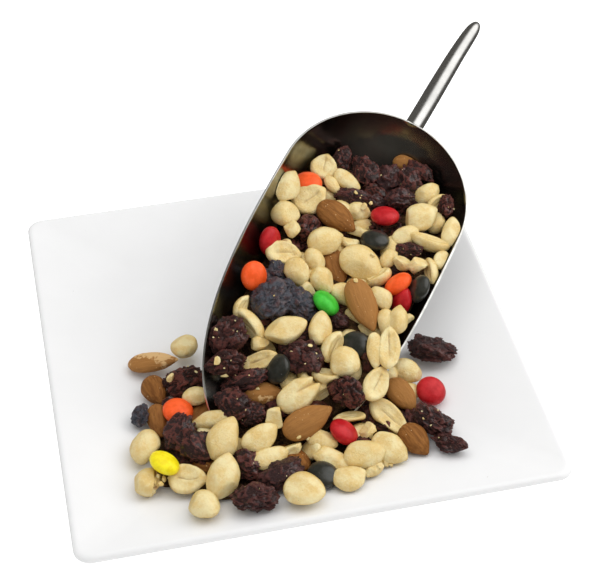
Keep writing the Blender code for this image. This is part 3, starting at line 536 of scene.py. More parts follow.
def rim_height(s, length=SCOOP_LENGTH):
    along = np.clip((np.asarray(s, float) - BACK_REACH) / (length - BACK_REACH), 0.0, 1.0)
    drop = RIM_DROP - along**LIP_POWER * (SCOOP_RADIUS + RIM_DROP)
    return np.maximum(drop, -scoop_radius(s))


def rim_width(s):
    return np.sqrt(np.maximum(scoop_radius(s) ** 2 - rim_height(s) ** 2, 0.0))


def scoop_sheet(name, back_stations=30, trough_stations=64, arc_steps=64):
    """Middle surface of the scoop's sheet, from the back of the bowl to the tip of the lip."""
    start = math.asin(-RIM_DROP / SCOOP_RADIUS) * 1.012
    turns = np.linspace(start, math.pi / 2, back_stations)
    stations = list(BACK_REACH * (1 - np.cos(turns)))
    for share in np.linspace(0, 1, trough_stations + 1)[1:]:
        stations.append(BACK_REACH + (SCOOP_LENGTH - 0.25 - BACK_REACH) * (1 - (1 - share) ** 1.5))
    points, faces = [], []
    for s in stations:
        radius = scoop_radius(s)
        top = min(rim_height(s), -0.02 * radius)
        reach = math.acos(min(-top / radius, 0.9995))
        turn = np.linspace(-reach, reach, arc_steps + 1)
        points.append(from_scoop(radius * np.sin(turn), s, -radius * np.cos(turn)))
    count = arc_steps + 1
    for i in range(len(stations) - 1):
        for j in range(arc_steps):
            low = i * count + j
            faces.append((low, low + 1, low + count + 1, low + count))
    return mesh_of(name, np.concatenate(points), faces)


def smooth_route(points, steps):
    """Catmull-Rom curve through the points, with this many steps between two of them."""
    padded = np.vstack([2 * points[0] - points[1], points, 2 * points[-1] - points[-2]])
    route = []
    for i in range(1, len(padded) - 2):
        p0, p1, p2, p3 = padded[i - 1 : i + 3]
        for t in np.arange(steps) / steps:
            bend = (2 * p0 - 5 * p1 + 4 * p2 - p3) * t**2 + (3 * p1 - p0 - 3 * p2 + p3) * t**3
            route.append(0.5 * (2 * p1 + (p2 - p0) * t + bend))
    route.append(points[-1])
    return np.array(route)


# Line of sight


def sight_axes():
    toward = np.array([
        math.sin(EYE_AZIMUTH) * math.cos(EYE_HEIGHT),
        -math.cos(EYE_AZIMUTH) * math.cos(EYE_HEIGHT),
        math.sin(EYE_HEIGHT),
    ])
    right = np.array([math.cos(EYE_AZIMUTH), math.sin(EYE_AZIMUTH), 0.0])
    return right, np.cross(toward, right), toward


RIGHT, RISE, TOWARD = sight_axes()
EYE = EYE_TARGET + EYE_DISTANCE * TOWARD


def sight_line(u, v):
    ray = (u - PICTURE_MIDDLE[0]) / FOCAL * RIGHT - (v - PICTURE_MIDDLE[1]) / FOCAL * RISE - TOWARD
    return ray / np.linalg.norm(ray)


def at_height(u, v, z):
    ray = sight_line(u, v)
    return EYE + ray * (z - EYE[2]) / ray[2]


# The heap's level


OUTLINE = np.array([at_height(u, v, WELL_TOP + 3.0)[:2] for u, v in SPILL_OUTLINE])


def inside_outline(x, y):
    """Shortest distance to the spill's outer edge."""
    point = np.stack(np.broadcast_arrays(x, y), -1).astype(float)
    best = np.full(point.shape[:-1], 1e9)
    for start, end in zip(OUTLINE[:-1], OUTLINE[1:]):
        step = end - start
        share = np.clip(((point - start) @ step) / (step @ step), 0, 1)
        best = np.minimum(best, np.linalg.norm(point - start - share[..., None] * step, axis=-1))
    return best


def smooth_share(value, low, high):
    share = np.clip((value - low) / (high - low), 0.0, 1.0)
    return share * share * (3 - 2 * share)


def scoop_level(x, y):
    """Height of the heap's tilted level in the scoop."""
    slant = UP - LEVEL_TILT * SIDE
    fall = (x - SCOOP_CENTRE[0]) * slant[0] + (y - SCOOP_CENTRE[1]) * slant[1]
    flat = SCOOP_CENTRE[2] + (LEVEL - fall) / slant[2]
    across = in_scoop(np.stack([x, y, flat], -1))[0]
    return flat + WALL_BANK * np.minimum((across / SCOOP_RADIUS) ** 2, 1.0)


def spill_level(x, y):
    """Height of the spilled mix, which rises inward from its outer edge."""
    return plate_height(x, y) + SPILL_EDGE + SPILL_SLOPE * inside_outline(x, y)


def in_the_scoop(point):
    across, s, _ = in_scoop(point)
    return (s < SCOOP_LENGTH) & (np.abs(across) < rim_width(s))


def filled_level(point):
    """The scoop's level, running out into the spill at the mouth."""
    x, y = point[..., 0], point[..., 1]
    level = scoop_level(x, y)
    share = smooth_share(in_scoop(point)[1] - BACK_REACH, MOUTH_START, MOUTH_END)
    return level * (1 - share) + np.minimum(level, spill_level(x, y)) * share


def heap_level(point):
    """Top of the heap above or below a point."""
    return np.where(in_the_scoop(point), filled_level(point), spill_level(point[..., 0], point[..., 1]))


def on_heap(u, v, lift):
    """Where the line of sight meets the heap, for a piece this far above the middle of the top layer."""
    z = 25.0
    for _ in range(30):
        point = at_height(u, v, z)
        z += 0.5 * (heap_level(point) - PIECE_SINK + lift - z)
    return at_height(u, v, z)


def heap_normal(point):
    step = 4.0
    dx = heap_level(point + [step, 0, 0]) - heap_level(point - [step, 0, 0])
    dy = heap_level(point + [0, step, 0]) - heap_level(point - [0, step, 0])
    slope = np.clip(np.array([dx, dy]) / (2 * step), -STEEPEST, STEEPEST)
    normal = np.array([*-slope, 1.0])
    return normal / np.linalg.norm(normal)


# Placing the pieces


class Piece:
    """One nut, candy or raisin: its look, its size, its middle and its axes (long, wide, thick)."""

    def __init__(self, look, u, v, heading, length, width, lift):
        self.look = look
        self.kind = LOOKS[look]
        angle = math.radians(heading)
        self.target = on_heap(u, v, lift)
        self.middle = self.target.copy()
        self.ray = sight_line(u, v)
        along = math.cos(angle) * RIGHT + math.sin(angle) * RISE
        if self.kind == "candy":
            self.size = np.array(KINDS["candy"])
            tilt = math.radians(length)
            facing = math.cos(angle) * RISE - math.sin(angle) * RIGHT
            thick = math.cos(tilt) * TOWARD + math.sin(tilt) * facing
        else:
            thick = heap_normal(self.target)
            usual = KINDS[self.kind]
            self.size = np.array([length, width, min(width * usual[2] / usual[1], usual[2])])
            along = along - TOWARD * (along @ thick) / (TOWARD @ thick)
        self.set_axes(along, thick)

    def set_axes(self, along, thick):
        along = along - thick * (along @ thick)
        along /= np.linalg.norm(along)
        self.axes = np.column_stack([along, np.cross(thick, along), thick])
        self.read_axes = self.axes.copy()

    def line_up(self):
        """Brings a settled piece back onto its line of sight, and shows most of its read broad side."""
        away = self.target - self.middle
        self.middle = self.middle + away - self.ray * (away @ self.ray)
        along, thick = self.read_axes[:, 0], self.read_axes[:, 2]
        if self.kind != "candy":
            thick = unit(thick + FACING_EYE * TOWARD)
        self.set_axes(
            (1 - SETTLED_SHARE) * along + SETTLED_SHARE * self.axes[:, 0],
            unit((1 - SETTLED_SHARE) * thick + SETTLED_SHARE * self.axes[:, 2]),
        )

    def draw(self):
        """Random numbers that belong to this piece."""
        return np.random.default_rng(int(abs(self.target[0] * 13 + self.target[1] * 7)) % 10007)

    def balls(self):
        """Middles, in the piece's axes, of equal balls that fill it, and their radius."""
        a, b, c = self.size / 2
        turn = np.arange(8) * math.pi / 4
        ring = np.column_stack([(a - c) * np.cos(turn), max(b - c, 0) * np.sin(turn), 0 * turn])
        return np.vstack([[0, 0, 0], ring]), c


class BuriedPiece(Piece):
    """A piece under the top layer, at a place of its own."""

    def __init__(self, look, place, along, thick, size):
        self.look = look
        self.kind = LOOKS[look]
        self.target = place
        self.middle = place.copy()
        self.ray = np.array([0.0, 0.0, -1.0])
        self.size = size
        self.set_axes(along, thick)


def near_balls(middle, span, owner_of, free):
    """Pairs of balls of different pieces that may touch, where one of the two pieces is free to move."""
    apart = np.linalg.norm(middle[:, None] - middle[None], axis=-1)
    close = apart < span[:, None] + span[None] + 5.0
    first, second = np.nonzero(np.triu(close, 1))
    moving = free[first] | free[second]
    first, second = first[moving], second[moving]
    many = owner_of.shape[1]
    a = np.repeat(owner_of[first], many, axis=1).ravel()
    b = np.tile(owner_of[second], (1, many)).ravel()
    return a, b


def settle(pieces, still=(), rounds=130, free_rounds=40):
    """Moves touching pieces apart, mostly along the line of sight, and keeps them off the dish."""
    everything = list(pieces) + list(still)
    free = np.arange(len(everything)) < len(pieces)
    local = np.array([piece.balls()[0] for piece in everything])
    radius = np.array([piece.balls()[1] for piece in everything]) + GAP / 2
    radius *= np.array([RAISIN_SWELL if piece.kind == "raisin" else 1.0 for piece in everything])
    target = np.array([piece.target for piece in everything])
    middle = np.array([piece.middle for piece in everything])
    ray = np.array([piece.ray for piece in everything])
    axes = np.array([piece.axes for piece in everything])
    span = np.array([piece.size[0] / 2 for piece in everything])
    inner = in_the_scoop(target)
    count, many = local.shape[:2]
    total = count * many
    owner_of = np.arange(total).reshape(count, many)
    reach = np.repeat(radius, many)
    for turn_number in range(rounds):
        hold = 1.0 if turn_number < rounds - free_rounds else 0.0
        if turn_number % 6 == 0:
            a, b = near_balls(middle, span, owner_of, free)
        balls = (np.einsum("nij,nkj->nki", axes, local) + middle[:, None]).reshape(-1, 3)
        away = balls[a] - balls[b]
        distance = np.linalg.norm(away, axis=-1) + 1e-9
        depth = np.maximum(reach[a] + reach[b] - distance, 0)
        away *= (depth / distance)[:, None]
        push = np.column_stack([
            np.bincount(a, away[:, i], total) - np.bincount(b, away[:, i], total) for i in range(3)
        ])
        hit = depth > 0
        touching = np.bincount(a, hit, total) + np.bincount(b, hit, total)
        push = PUSH_SHARE * push / np.maximum(touching, 1)[:, None]
        push += wall_push(balls, reach, np.repeat(inner, many))
        force = push.reshape(count, many, 3)
        busy = np.maximum((np.abs(force).sum(-1) > 0).sum(1), 1)[:, None]
        shift = force.sum(1) / busy
        arm = balls.reshape(count, many, 3) - middle[:, None]
        spin = np.cross(arm, force).sum(1) / (busy * (radius[:, None] * 2.5) ** 2)
        sideways = shift - ray * (shift * ray).sum(1)[:, None]
        shift = shift - 0.5 * sideways
        back = target - middle
        back_along = ray * (back * ray).sum(1)[:, None]
        shift += hold * (HOLD_ALONG * back_along + HOLD_ACROSS * (back - back_along))
        middle += shift * free[:, None]
        for i in range(len(pieces)):
            angle = min(np.linalg.norm(spin[i]), LARGEST_TURN)
            if angle > 1e-5:
                turned = Matrix.Rotation(angle, 3, spin[i] / np.linalg.norm(spin[i]))
                axes[i] = np.array(turned) @ axes[i]
    for piece, place, turned in zip(pieces, middle, axes):
        piece.middle, piece.axes = place, turned


def by_the_sheet(points, over_rim):
    """Each point's distance from the scoop's axis, the sheet's radius, whether it is beside, the way out."""
    across, s, up = in_scoop(points)
    out = np.hypot(across, up) + 1e-9
    beside = (s > 0) & (s < SCOOP_LENGTH) & (up < rim_height(s) + over_rim)
    outward = (across / out)[:, None] * SIDE + (up / out)[:, None] * UP
    return out, scoop_radius(s), beside, outward


def wall_push(balls, reach, inner):
    """Push on each ball that reaches into the plate or through the scoop's sheet."""
    push = np.zeros_like(balls)
    low = plate_height(balls[:, 0], balls[:, 1]) + GAP + 0.3 + reach - balls[:, 2]
    push[:, 2] += np.maximum(low, 0)
    out, radius, beside, outward = by_the_sheet(balls, 0.5)
    clear = SHEET / 2 + GAP + 0.4
    deep = np.where(inner, out + reach - (radius - clear), out - reach - (radius + clear))
    deep = np.where(inner, np.maximum(deep, 0), np.minimum(deep, 0)) * beside
    return push - np.clip(deep, -3, 3)[:, None] * outward


def sheet_depth(points, inner):
    """How far each point is through the scoop's sheet, and the way out of the scoop there."""
    out, radius, beside, outward = by_the_sheet(points, 0.3)
    deep = (out - radius if inner else radius - out) + SHEET / 2
    return np.maximum(deep, 0.0) * beside, outward


def press_on_sheet(points, inner):
    """Flattens a piece against the scoop's sheet where it would reach through it."""
    deep, outward = sheet_depth(points, inner)
    deep = np.where(deep < THROUGH_LIMIT, deep, 0.0)
    return points - outward * deep[:, None] * (1 if inner else -1)


def rise_clear(piece, points):
    """Raises a piece at the scoop's left wall along its line of sight until it is clear of the sheet."""
    for _ in range(RISING_STEPS):
        placed = piece.middle + points * (piece.size / 2) @ piece.axes.T
        beside = in_the_scoop(piece.middle) and in_scoop(piece.middle)[0] < 0
        if not beside or sheet_depth(placed, True)[0].max() < RISING_STEP:
            break
        piece.middle = piece.middle - piece.ray * RISING_STEP


def seat(piece):
    """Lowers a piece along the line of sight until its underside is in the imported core."""
    low = piece.middle[2] - piece.size[2] / 2
    over = low + PIECE_ROOT - float(heap_level(piece.middle) - CORE_SINK)
    if over > 0:
        piece.middle = piece.middle - piece.ray * over / piece.ray[2]


def first_hit(ray, pieces):
    """Nearest point where a line of sight meets a piece, the way out of the piece there, and the piece."""
    best = (1e9, None, None, None)
    for piece in pieces:
        half = piece.size / 2 * 1.04
        start = (EYE - piece.middle) @ piece.axes / half
        step = ray @ piece.axes / half
        b, c = start @ step, start @ start - 1.0
        reach = b * b - (step @ step) * c
        if reach > 0:
            away = (-b - math.sqrt(reach)) / (step @ step)
            if away < best[0]:
                place = EYE + ray * away
                best = (away, place, unit(piece.axes @ ((start + step * away) / half)), piece)
    return best[1:]


def crumb_pieces(shown, seed):
    """Broken bits that lie on the pieces: those read in the picture, and finer ones at random."""
    draw = np.random.default_rng(seed)
    spots = list(CRUMBS)
    for _ in range(4 * DUST_COUNT):
        spots.append((*draw.uniform(*DUST_AREA), draw.uniform(*DUST_LENGTHS)))
    crumbs = []
    for number, (u, v, length) in enumerate(spots):
        place, out, under = first_hit(sight_line(u, v), shown)
        if under is None:
            continue
        if number < len(CRUMBS) or (under.kind == "raisin" and len(crumbs) < DUST_COUNT):
            turn = draw.normal(size=3)
            size = np.array([length, length * draw.uniform(0.6, 0.9), length * draw.uniform(0.4, 0.7)])
            crumbs.append(BuriedPiece("nut", place + out * size[2] * 0.3, turn, out, size))
    return crumbs


def place_pieces():
    """All the pieces that show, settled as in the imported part: the heap's, and the loose ones by node."""
    heap = [Piece(*row) for row in PIECES]
    loose = [Piece(*row[1:]) for row in LOOSE]
    settle(heap + loose)
    points, _ = ball(16, 12)
    for piece in heap:
        seat(piece)
        piece.line_up()
        rise_clear(piece, points)
    return heap, {row[0]: piece for row, piece in zip(LOOSE, loose)}


def buried_pieces(shown, seed):
    """A second layer that fills the gaps between the pieces that show, some in the look of the nearest piece
    that shows.
    """
    draw = np.random.default_rng(seed)
    low, high = OUTLINE.min(0), OUTLINE.max(0)
    middles = np.array([piece.middle for piece in shown])
    buried = []
    for x in np.arange(low[0] - 10, 110, BELOW_SPACING):
        for y in np.arange(low[1] - 10, 100, BELOW_SPACING):
            place = np.array([x, y, 0.0]) + [*draw.uniform(-3, 3, 2), 0]
            place[2] = heap_level(place) - BELOW_SINK + draw.uniform(-1.2, 1.2)
            choice, turn = draw.random(), draw.uniform(0, math.pi)
            lean, share = draw.uniform(-0.5, 0.5, 2), draw.random()
            if not room_below(place):
                continue
            nearest = shown[int(np.argmin(np.linalg.norm(middles - place, axis=1)))]
            look = nearest.look if nearest.kind in ("raisin", "nut", "half") and choice < 0.4 else None
            look = look or BELOW_LOOKS[int(share * len(BELOW_LOOKS))]
            usual = np.array(KINDS[LOOKS[look]]) * draw.uniform(0.78, 1.0)
            along = np.array([math.cos(turn), math.sin(turn), 0.0])
            buried.append(BuriedPiece(look, place, along, unit(np.array([*lean, 1.0])), usual))
    settle(buried, shown, rounds=40, free_rounds=10)
    return [
        piece for piece in buried
        if room_below(piece.middle) and same_side(piece) and hides_none(piece, shown)
    ]


def same_side(piece):
    """Whether a settled piece is still on its own side of the scoop's wall."""
    return bool(in_the_scoop(piece.middle)) == bool(in_the_scoop(piece.target))


def hides_none(piece, shown):
    """Whether a buried piece lies behind each of the shown ones that it meets in the picture."""
    offset = piece.middle - np.array([other.middle for other in shown])
    nearer = offset @ TOWARD
    across = np.linalg.norm(offset - nearer[:, None] * TOWARD, axis=1)
    widths = np.array([other.size[1] for other in shown])
    return not np.any((across < (widths + piece.size[1]) / 2 - HIDING_OVERLAP) & (nearer > -HIDING_DEPTH))


def room_below(place):
    """Whether a buried piece fits here: over the plate within the spill, or within the filled scoop."""
    across, s, up = in_scoop(place)
    radius = float(scoop_radius(s))
    if float(in_the_scoop(place)):
        return BACK_REACH - BACK_EDGE - 2 < s < SCOOP_LENGTH - 12 and math.hypot(across, up) < radius - 6.5
    at_mouth = float(s) < SCOOP_LENGTH + 6 and abs(float(across)) < SCOOP_RADIUS + 7
    if place[2] > (MOUTH_TOP if at_mouth else SPILL_TOP):
        return False
    return inside_spill(place[:2]) and place[2] > float(plate_height(place[0], place[1])) + 4.0


def inside_spill(flat):
    """Whether a point lies well inside the spill's outline."""
    a, b = OUTLINE, np.roll(OUTLINE, -1, axis=0)
    over = (a[:, 1] > flat[1]) != (b[:, 1] > flat[1])
    cross = a[:, 0] + (flat[1] - a[:, 1]) * (b[:, 0] - a[:, 0]) / np.where(over, b[:, 1] - a[:, 1], 1.0)
    inside = (over & (cross > flat[0])).sum() % 2 == 1
    return bool(inside) and float(inside_outline(flat[0], flat[1])) > 7.0


def unit(vector):
    return vector / np.linalg.norm(vector)


# Forms of the pieces: each takes points of a unit ball, x along the piece, and gives places in its half sizes


def unit_form(maker, **values):
    """Points and faces of a unit form that bmesh makes."""
    shape = bmesh.new()
    maker(shape, radius=1.0, **values)
    shape.verts.index_update()
    points = np.array([vertex.co for vertex in shape.verts])
    faces = [tuple(vertex.index for vertex in face.verts) for face in shape.faces]
    shape.free()
    return points, faces


def ball(segments, rings, along_x=True):
    """Unit ball whose poles are at its ends, or above and below."""
    points, faces = unit_form(bmesh.ops.create_uvsphere, u_segments=segments, v_segments=rings)
    return points[:, [2, 0, 1]] if along_x else points, faces


def round_ball(divisions):
    return unit_form(bmesh.ops.create_icosphere, subdivisions=divisions)


def cloud(points, shift, scale, octaves=3):
    """Smooth noise at each point, from about -1 to 1."""
    start = Vector(shift)
    stretch = np.asarray(scale, float) * np.ones(3)
    return np.array([noise.fractal(Vector(p) + start, 1.0, 2.0, octaves) for p in points * stretch])


def furrows(points, shift, scale, width):
    """1 along thin winding lines, falling to 0 away from them."""
    return np.exp(-((cloud(points, shift, scale, 2) / width) ** 2))


def near(value, width):
    return np.exp(-((value / width) ** 2))


def press(points, draw, count, low, high, soft):
    """Flattens a form by planes at random, as its neighbours in the shell or a break do."""
    for _ in range(count):
        way = unit(draw.normal(size=3))
        over = (points @ way - draw.uniform(low, high)) / soft
        points = points - (soft * np.logaddexp(0.0, over))[:, None] * way
    return points


def peanut_form(v, half, draw, look):
    """Kernel: narrower at its germ end, with a small tip, and the seam of its two halves round it."""
    shift, turn = draw.uniform(0, 90, 3), draw.uniform(0, math.pi)
    if half[0] * 2 < CHIP_LENGTH:
        broken = press(v, draw, 6, 0.42, 0.78, 0.02)
        broken = broken * (1.12 + 0.10 * cloud(v, shift, 1.6) + 0.02 * cloud(v, shift, 6.0))[:, None]
        return broken * half, 0.3 * smooth_share(cloud(v, shift, 2.0), 0.1, 0.6)
    x, y, z = v.T
    across = y * math.cos(turn) + z * math.sin(turn)
    seam = near(across, 0.05) * smooth_share(1 - np.abs(x), 0.0, 0.25)
    depth = 0.075 if look == "seam" else 0.022
    swell = 1.02 - depth * seam + 0.09 * cloud(v, shift, 1.0) + 0.014 * cloud(v, shift, 4.0)
    slim = 1 - draw.uniform(0.05, 0.16) * x - 0.05 * x * x
    # The mark is partly the kernel's own colour and partly painted shade: the brown at the germ tip is its
    # own, and the darker line along the seam's groove is painted shade.
    mark = 0.22 * seam + 0.45 * smooth_share(x, 0.95, 1.0)
    long = x + draw.uniform(0.02, 0.12) * np.exp(-(1 - x) / 0.035)
    if look == "lobes":
        apart = near(y - 0.1, 0.14)
        swell = swell - 0.5 * apart * smooth_share(x, -0.5, 0.6) * smooth_share(z, -0.6, 0.3)
        long = long - 0.34 * near(y - 0.1, 0.24) * smooth_share(x, 0.3, 0.9)
        # Painted shade in the cleft between the two lobes, on their upper side.
        mark = np.maximum(mark, 0.6 * apart * smooth_share(x, -0.5, 0.3) * (z > 0))
    if look == "split":
        broken = smooth_share(-y + 0.5 * x, 0.25, 0.5)
        swell = swell - 0.30 * broken * (1 + 0.6 * cloud(v, shift, 3.0))
        mark = np.maximum(mark, broken * smooth_share(cloud(v, shift, 2.5), -0.2, 0.35))
    bend = draw.uniform(-0.1, 0.16) * (x * x - 0.3)
    formed = np.column_stack([long, y * slim * swell + bend, z * slim * swell])
    return press(formed, draw, 4, 0.76, 0.96, 0.045) * half * 1.06, mark


def half_form(v, half, draw, look):
    """Half kernel: a dome over a flat face, or the face up, with its rim, its crease and the germ's mark."""
    x, y, z = v.T
    shift = draw.uniform(0, 90, 3)
    swell = 1.02 + 0.07 * cloud(v, shift, 1.1)
    slim = 1 - draw.uniform(0.05, 0.16) * x - 0.05 * x * x
    bend = draw.uniform(-0.05, 0.2) * (x * x - 0.3)
    spread = np.clip(x * x + y * y, 0, 1)
    flat = np.sqrt(np.clip(1 - spread**4, 0, 1))
    mark = np.zeros(len(v))
    long = x + draw.uniform(0.03, 0.12) * np.exp(-(1 - x) / 0.04)
    wave = 0.16 * cloud(np.column_stack([x, y, 0 * z]), shift, 1.7)
    if look != "dome":
        dish = 1 - smooth_share(np.sqrt(spread), 0.45, 0.88)
        crease = near(y - 0.1 * x - 0.25 * wave, 0.07) * smooth_share(0.7 - np.abs(x - 0.1), 0.0, 0.3)
        germ = near(np.hypot(x - 0.66, y), 0.14)
        wave = wave * (1 - spread)
        top = flat * 0.66 - (0.27 * dish + 0.22 * crease - 0.20 * germ - 0.7 * wave) * (z > 0)
        height = np.where(z > 0, top, z * (1.0 if look == "face" else 1.7))
        # Painted shade: the face is marked darker in its crease and in patches of its hollow middle.
        mark = (0.55 * crease + 0.30 * dish * smooth_share(wave, 0.02, 0.12)) * (z > 0)
    else:
        height = np.where(z > 0, z * swell, (-0.45 + wave) * flat)
        mark = 0.35 * smooth_share(x, 0.95, 1.0)
    formed = np.column_stack([long, y * slim * swell + bend, height])
    count = 3 if look == "dome" else 1
    placed = press(formed, draw, count, 0.72, 0.95, 0.025) * half * 1.07
    if look == "side":
        lean = math.radians(draw.uniform(*SIDE_LEAN))
        _, y, z = placed.T
        placed[:, 1:] = np.column_stack([
            y * math.cos(lean) - z * math.sin(lean), y * math.sin(lean) + z * math.cos(lean),
        ])
    return placed, mark


def almond_form(v, half, draw, look):
    """Flat teardrop with lengthwise furrows in its skin."""
    x, y, z = v.T
    shift = draw.uniform(0, 90, 3)
    point = 1 - 0.22 * smooth_share(x, 0.45, 1.0)
    ridges = cloud(v, shift, (0.8, 4.6, 4.6), 3)
    swell = 1 + 0.020 * ridges + 0.05 * cloud(v, shift, 1.2)
    wide = y * (1 - 0.28 * x - 0.10 * x * x) * point
    thick = z * (1 - 0.15 * x) * point
    # The mark is for painted shade in the skin's furrows, where the ridge noise is low.
    mark = smooth_share(-ridges, -0.1, 0.5)
    return np.column_stack([x, wide * swell, thick * swell]) * half, mark


def candy_form(v, half, draw, look):
    """Sugar-coated lens with a full, round edge."""
    x, y, z = v.T
    spread = np.sqrt(np.clip(x * x + y * y, 0, 1))
    swell = 1 + 0.012 * cloud(v, draw.uniform(0, 90, 3), 1.5)
    full = np.sign(z) * np.abs(z) ** 0.92 * (1 + 0.04 * spread)
    return np.column_stack([x, y, full]) * swell[:, None] * half, np.zeros(len(v))


def raisin_form(v, half, draw, look):
    """Dried fruit: crumpled, with deep creases and finer wrinkles between them."""
    shift = draw.uniform(0, 90, 3)
    lumps = cloud(v, shift, 1.4)
    warp = v + 0.30 * np.column_stack([cloud(v, shift + k, 1.7, 2) for k in (5, 11, 17)])
    deep = furrows(warp, shift + 3, 1.5, 0.13)
    fine = furrows(warp, shift + 7, 3.3, 0.13)
    tiny = furrows(warp, shift + 9, 7.0, 0.15)
    # The mark is for painted shade: high in the sunken creases and low on the raised skin.
    if look == "plum":
        swell = 0.88 + 0.26 * lumps + 0.17 * deep + 0.055 * fine + 0.015 * tiny
        mark = np.clip(0.95 - 1.0 * deep - 0.6 * fine - 0.2 * tiny, 0, 1)
    else:
        swell = 1.0 + 0.28 * lumps - 0.22 * deep - 0.085 * fine - 0.02 * tiny
        mark = np.clip(0.9 * deep + 0.6 * fine + 0.3 * tiny, 0, 1)
    formed = press(v * swell[:, None], draw, 3, 0.72, 0.92, 0.04)
    return formed * half * RAISIN_SHOWN, mark


FORMS = {
    "nut": peanut_form, "half": half_form, "almond": almond_form, "candy": candy_form, "raisin": raisin_form,
}


class Batch:
    """Points, faces and surface values of like pieces, gathered into one mesh."""

    def __init__(self):
        self.points, self.faces, self.grain, self.tone = [], [], [], []
        self.count = 0

    def add(self, piece, base, extra=0.0):
        points, faces = base
        draw = piece.draw()
        local, mark = FORMS[piece.kind](points, piece.size / 2, draw, piece.look)
        placed = piece.middle + local @ piece.axes.T
        self.points.append(press_on_sheet(placed, bool(in_the_scoop(piece.middle))))
        self.faces += [tuple(index + self.count for index in face) for face in faces]
        self.grain.append(local + draw.uniform(-500, 500, 3))
        fill = np.ones(len(points))
        self.tone.append(np.column_stack([fill * draw.random(), mark, fill * extra, fill]))
        self.count += len(points)

    def build(self, name, surface):
        mesh = mesh_of(name, np.concatenate(self.points), self.faces)
        grain = mesh.attributes.new("grain", "FLOAT_VECTOR", "POINT")
        grain.data.foreach_set("vector", np.concatenate(self.grain).astype(np.float32).ravel())
        tone = mesh.attributes.new("tone", "FLOAT_COLOR", "POINT")
        tone.data.foreach_set("color", np.concatenate(self.tone).astype(np.float32).ravel())
        return add_object(name, mesh, surface)


# Shared effects


def new_group(name, inputs, outputs):
    """Empty node group with named sockets, and its input and output nodes."""
    tree = bpy.data.node_groups.new(name, "ShaderNodeTree")
    for label, kind, default in inputs:
        socket = tree.interface.new_socket(name=label, in_out="INPUT", socket_type=kind)
        if default is not None:
            socket.default_value = default
    for label, kind in outputs:
        tree.interface.new_socket(name=label, in_out="OUTPUT", socket_type=kind)
    return tree, tree.nodes.new("NodeGroupInput"), tree.nodes.new("NodeGroupOutput")


def put(tree, kind, **values):
    """Adds a node; a value is set on the node, or on the input socket of that name."""
    node = tree.nodes.new(kind)
    for name, value in values.items():
        if hasattr(node, name):
            setattr(node, name, value)
        else:
            node.inputs[name.replace("_", " ")].default_value = value
    return node


def feed(tree, value, socket):
    """Links a socket to another node's output, or sets it to a number or a colour."""
    if isinstance(value, bpy.types.NodeSocket):
        tree.links.new(value, socket)
    else:
        socket.default_value = value if isinstance(value, float) else (*value, 1.0)


def worked_out(tree, operation, *values, **settings):
    """Math node over sockets and numbers."""
    node = put(tree, "ShaderNodeMath", operation=operation, **settings)
    for value, socket in zip(values, node.inputs):
        feed(tree, value, socket)
    return node.outputs[0]


def blend_colours(tree, share, first, second):
    """Mix node between two colours, each a socket or a plain colour."""
    node = put(tree, "ShaderNodeMix", data_type="RGBA", blend_type="MIX")
    for value, number in ((share, 0), (first, 6), (second, 7)):
        feed(tree, value, node.inputs[number])
    return node.outputs[2]


def layered(tree, colour, *layers):
    """Lays colours over a first one, each by its mask."""
    for mask, over in layers:
        colour = blend_colours(tree, mask, colour, over)
    return colour


def mix_shaders(tree, share, first, second):
    node = put(tree, "ShaderNodeMixShader")
    for value, socket in zip((share, first, second), node.inputs):
        tree.links.new(value, socket)
    return node.outputs[0]


def own_place(tree):
    """An object's own coordinates in metres."""
    return put(tree, "ShaderNodeTexCoord").outputs["Object"]


def ramp(tree, value, low, high, to_low=0.0, to_high=1.0):
    """Map Range node with soft ends."""
    node = put(tree, "ShaderNodeMapRange", interpolation_type="SMOOTHSTEP")
    tree.links.new(value, node.inputs["Value"])
    for name, number in (("From Min", low), ("From Max", high), ("To Min", to_low), ("To Max", to_high)):
        node.inputs[name].default_value = number
    return node.outputs["Result"]


def mottle_group():
    """Cloudy mask that varies over a surface, in a piece's own coordinates."""
    sockets = [
        ("Place", "NodeSocketVector", None),
        ("Scale", "NodeSocketFloat", 0.3),
        ("Stretch", "NodeSocketVector", None),
    ]
    tree, start, end = new_group("cloudy_mottle", sockets, [("Mask", "NodeSocketFloat")])
    stretched = put(tree, "ShaderNodeVectorMath", operation="MULTIPLY")
    texture = put(tree, "ShaderNodeTexNoise", Detail=4.0, Roughness=0.6)
    tree.links.new(start.outputs["Place"], stretched.inputs[0])
    tree.links.new(start.outputs["Stretch"], stretched.inputs[1])
    tree.links.new(stretched.outputs[0], texture.inputs["Vector"])
    tree.links.new(start.outputs["Scale"], texture.inputs["Scale"])
    tree.links.new(ramp(tree, texture.outputs[0], 0.34, 0.66), end.inputs["Mask"])
    return tree


def speck_group():
    """Small scattered spots, as of crumbs and dust that stick to a piece."""
    sockets = [
        ("Place", "NodeSocketVector", None),
        ("Scale", "NodeSocketFloat", 0.8),
        ("Size", "NodeSocketFloat", 0.2),
    ]
    tree, start, end = new_group("scattered_specks", sockets, [("Mask", "NodeSocketFloat")])
    cells = put(tree, "ShaderNodeTexVoronoi", feature="F1", Randomness=1.0)
    parts = put(tree, "ShaderNodeSeparateColor")
    tree.links.new(start.outputs["Place"], cells.inputs["Vector"])
    tree.links.new(start.outputs["Scale"], cells.inputs["Scale"])
    tree.links.new(cells.outputs["Color"], parts.inputs[0])
    inside = worked_out(tree, "LESS_THAN", cells.outputs["Distance"], start.outputs["Size"])
    chosen = worked_out(tree, "GREATER_THAN", parts.outputs[0], 0.55)
    tree.links.new(worked_out(tree, "MULTIPLY", inside, chosen), end.inputs["Mask"])
    return tree


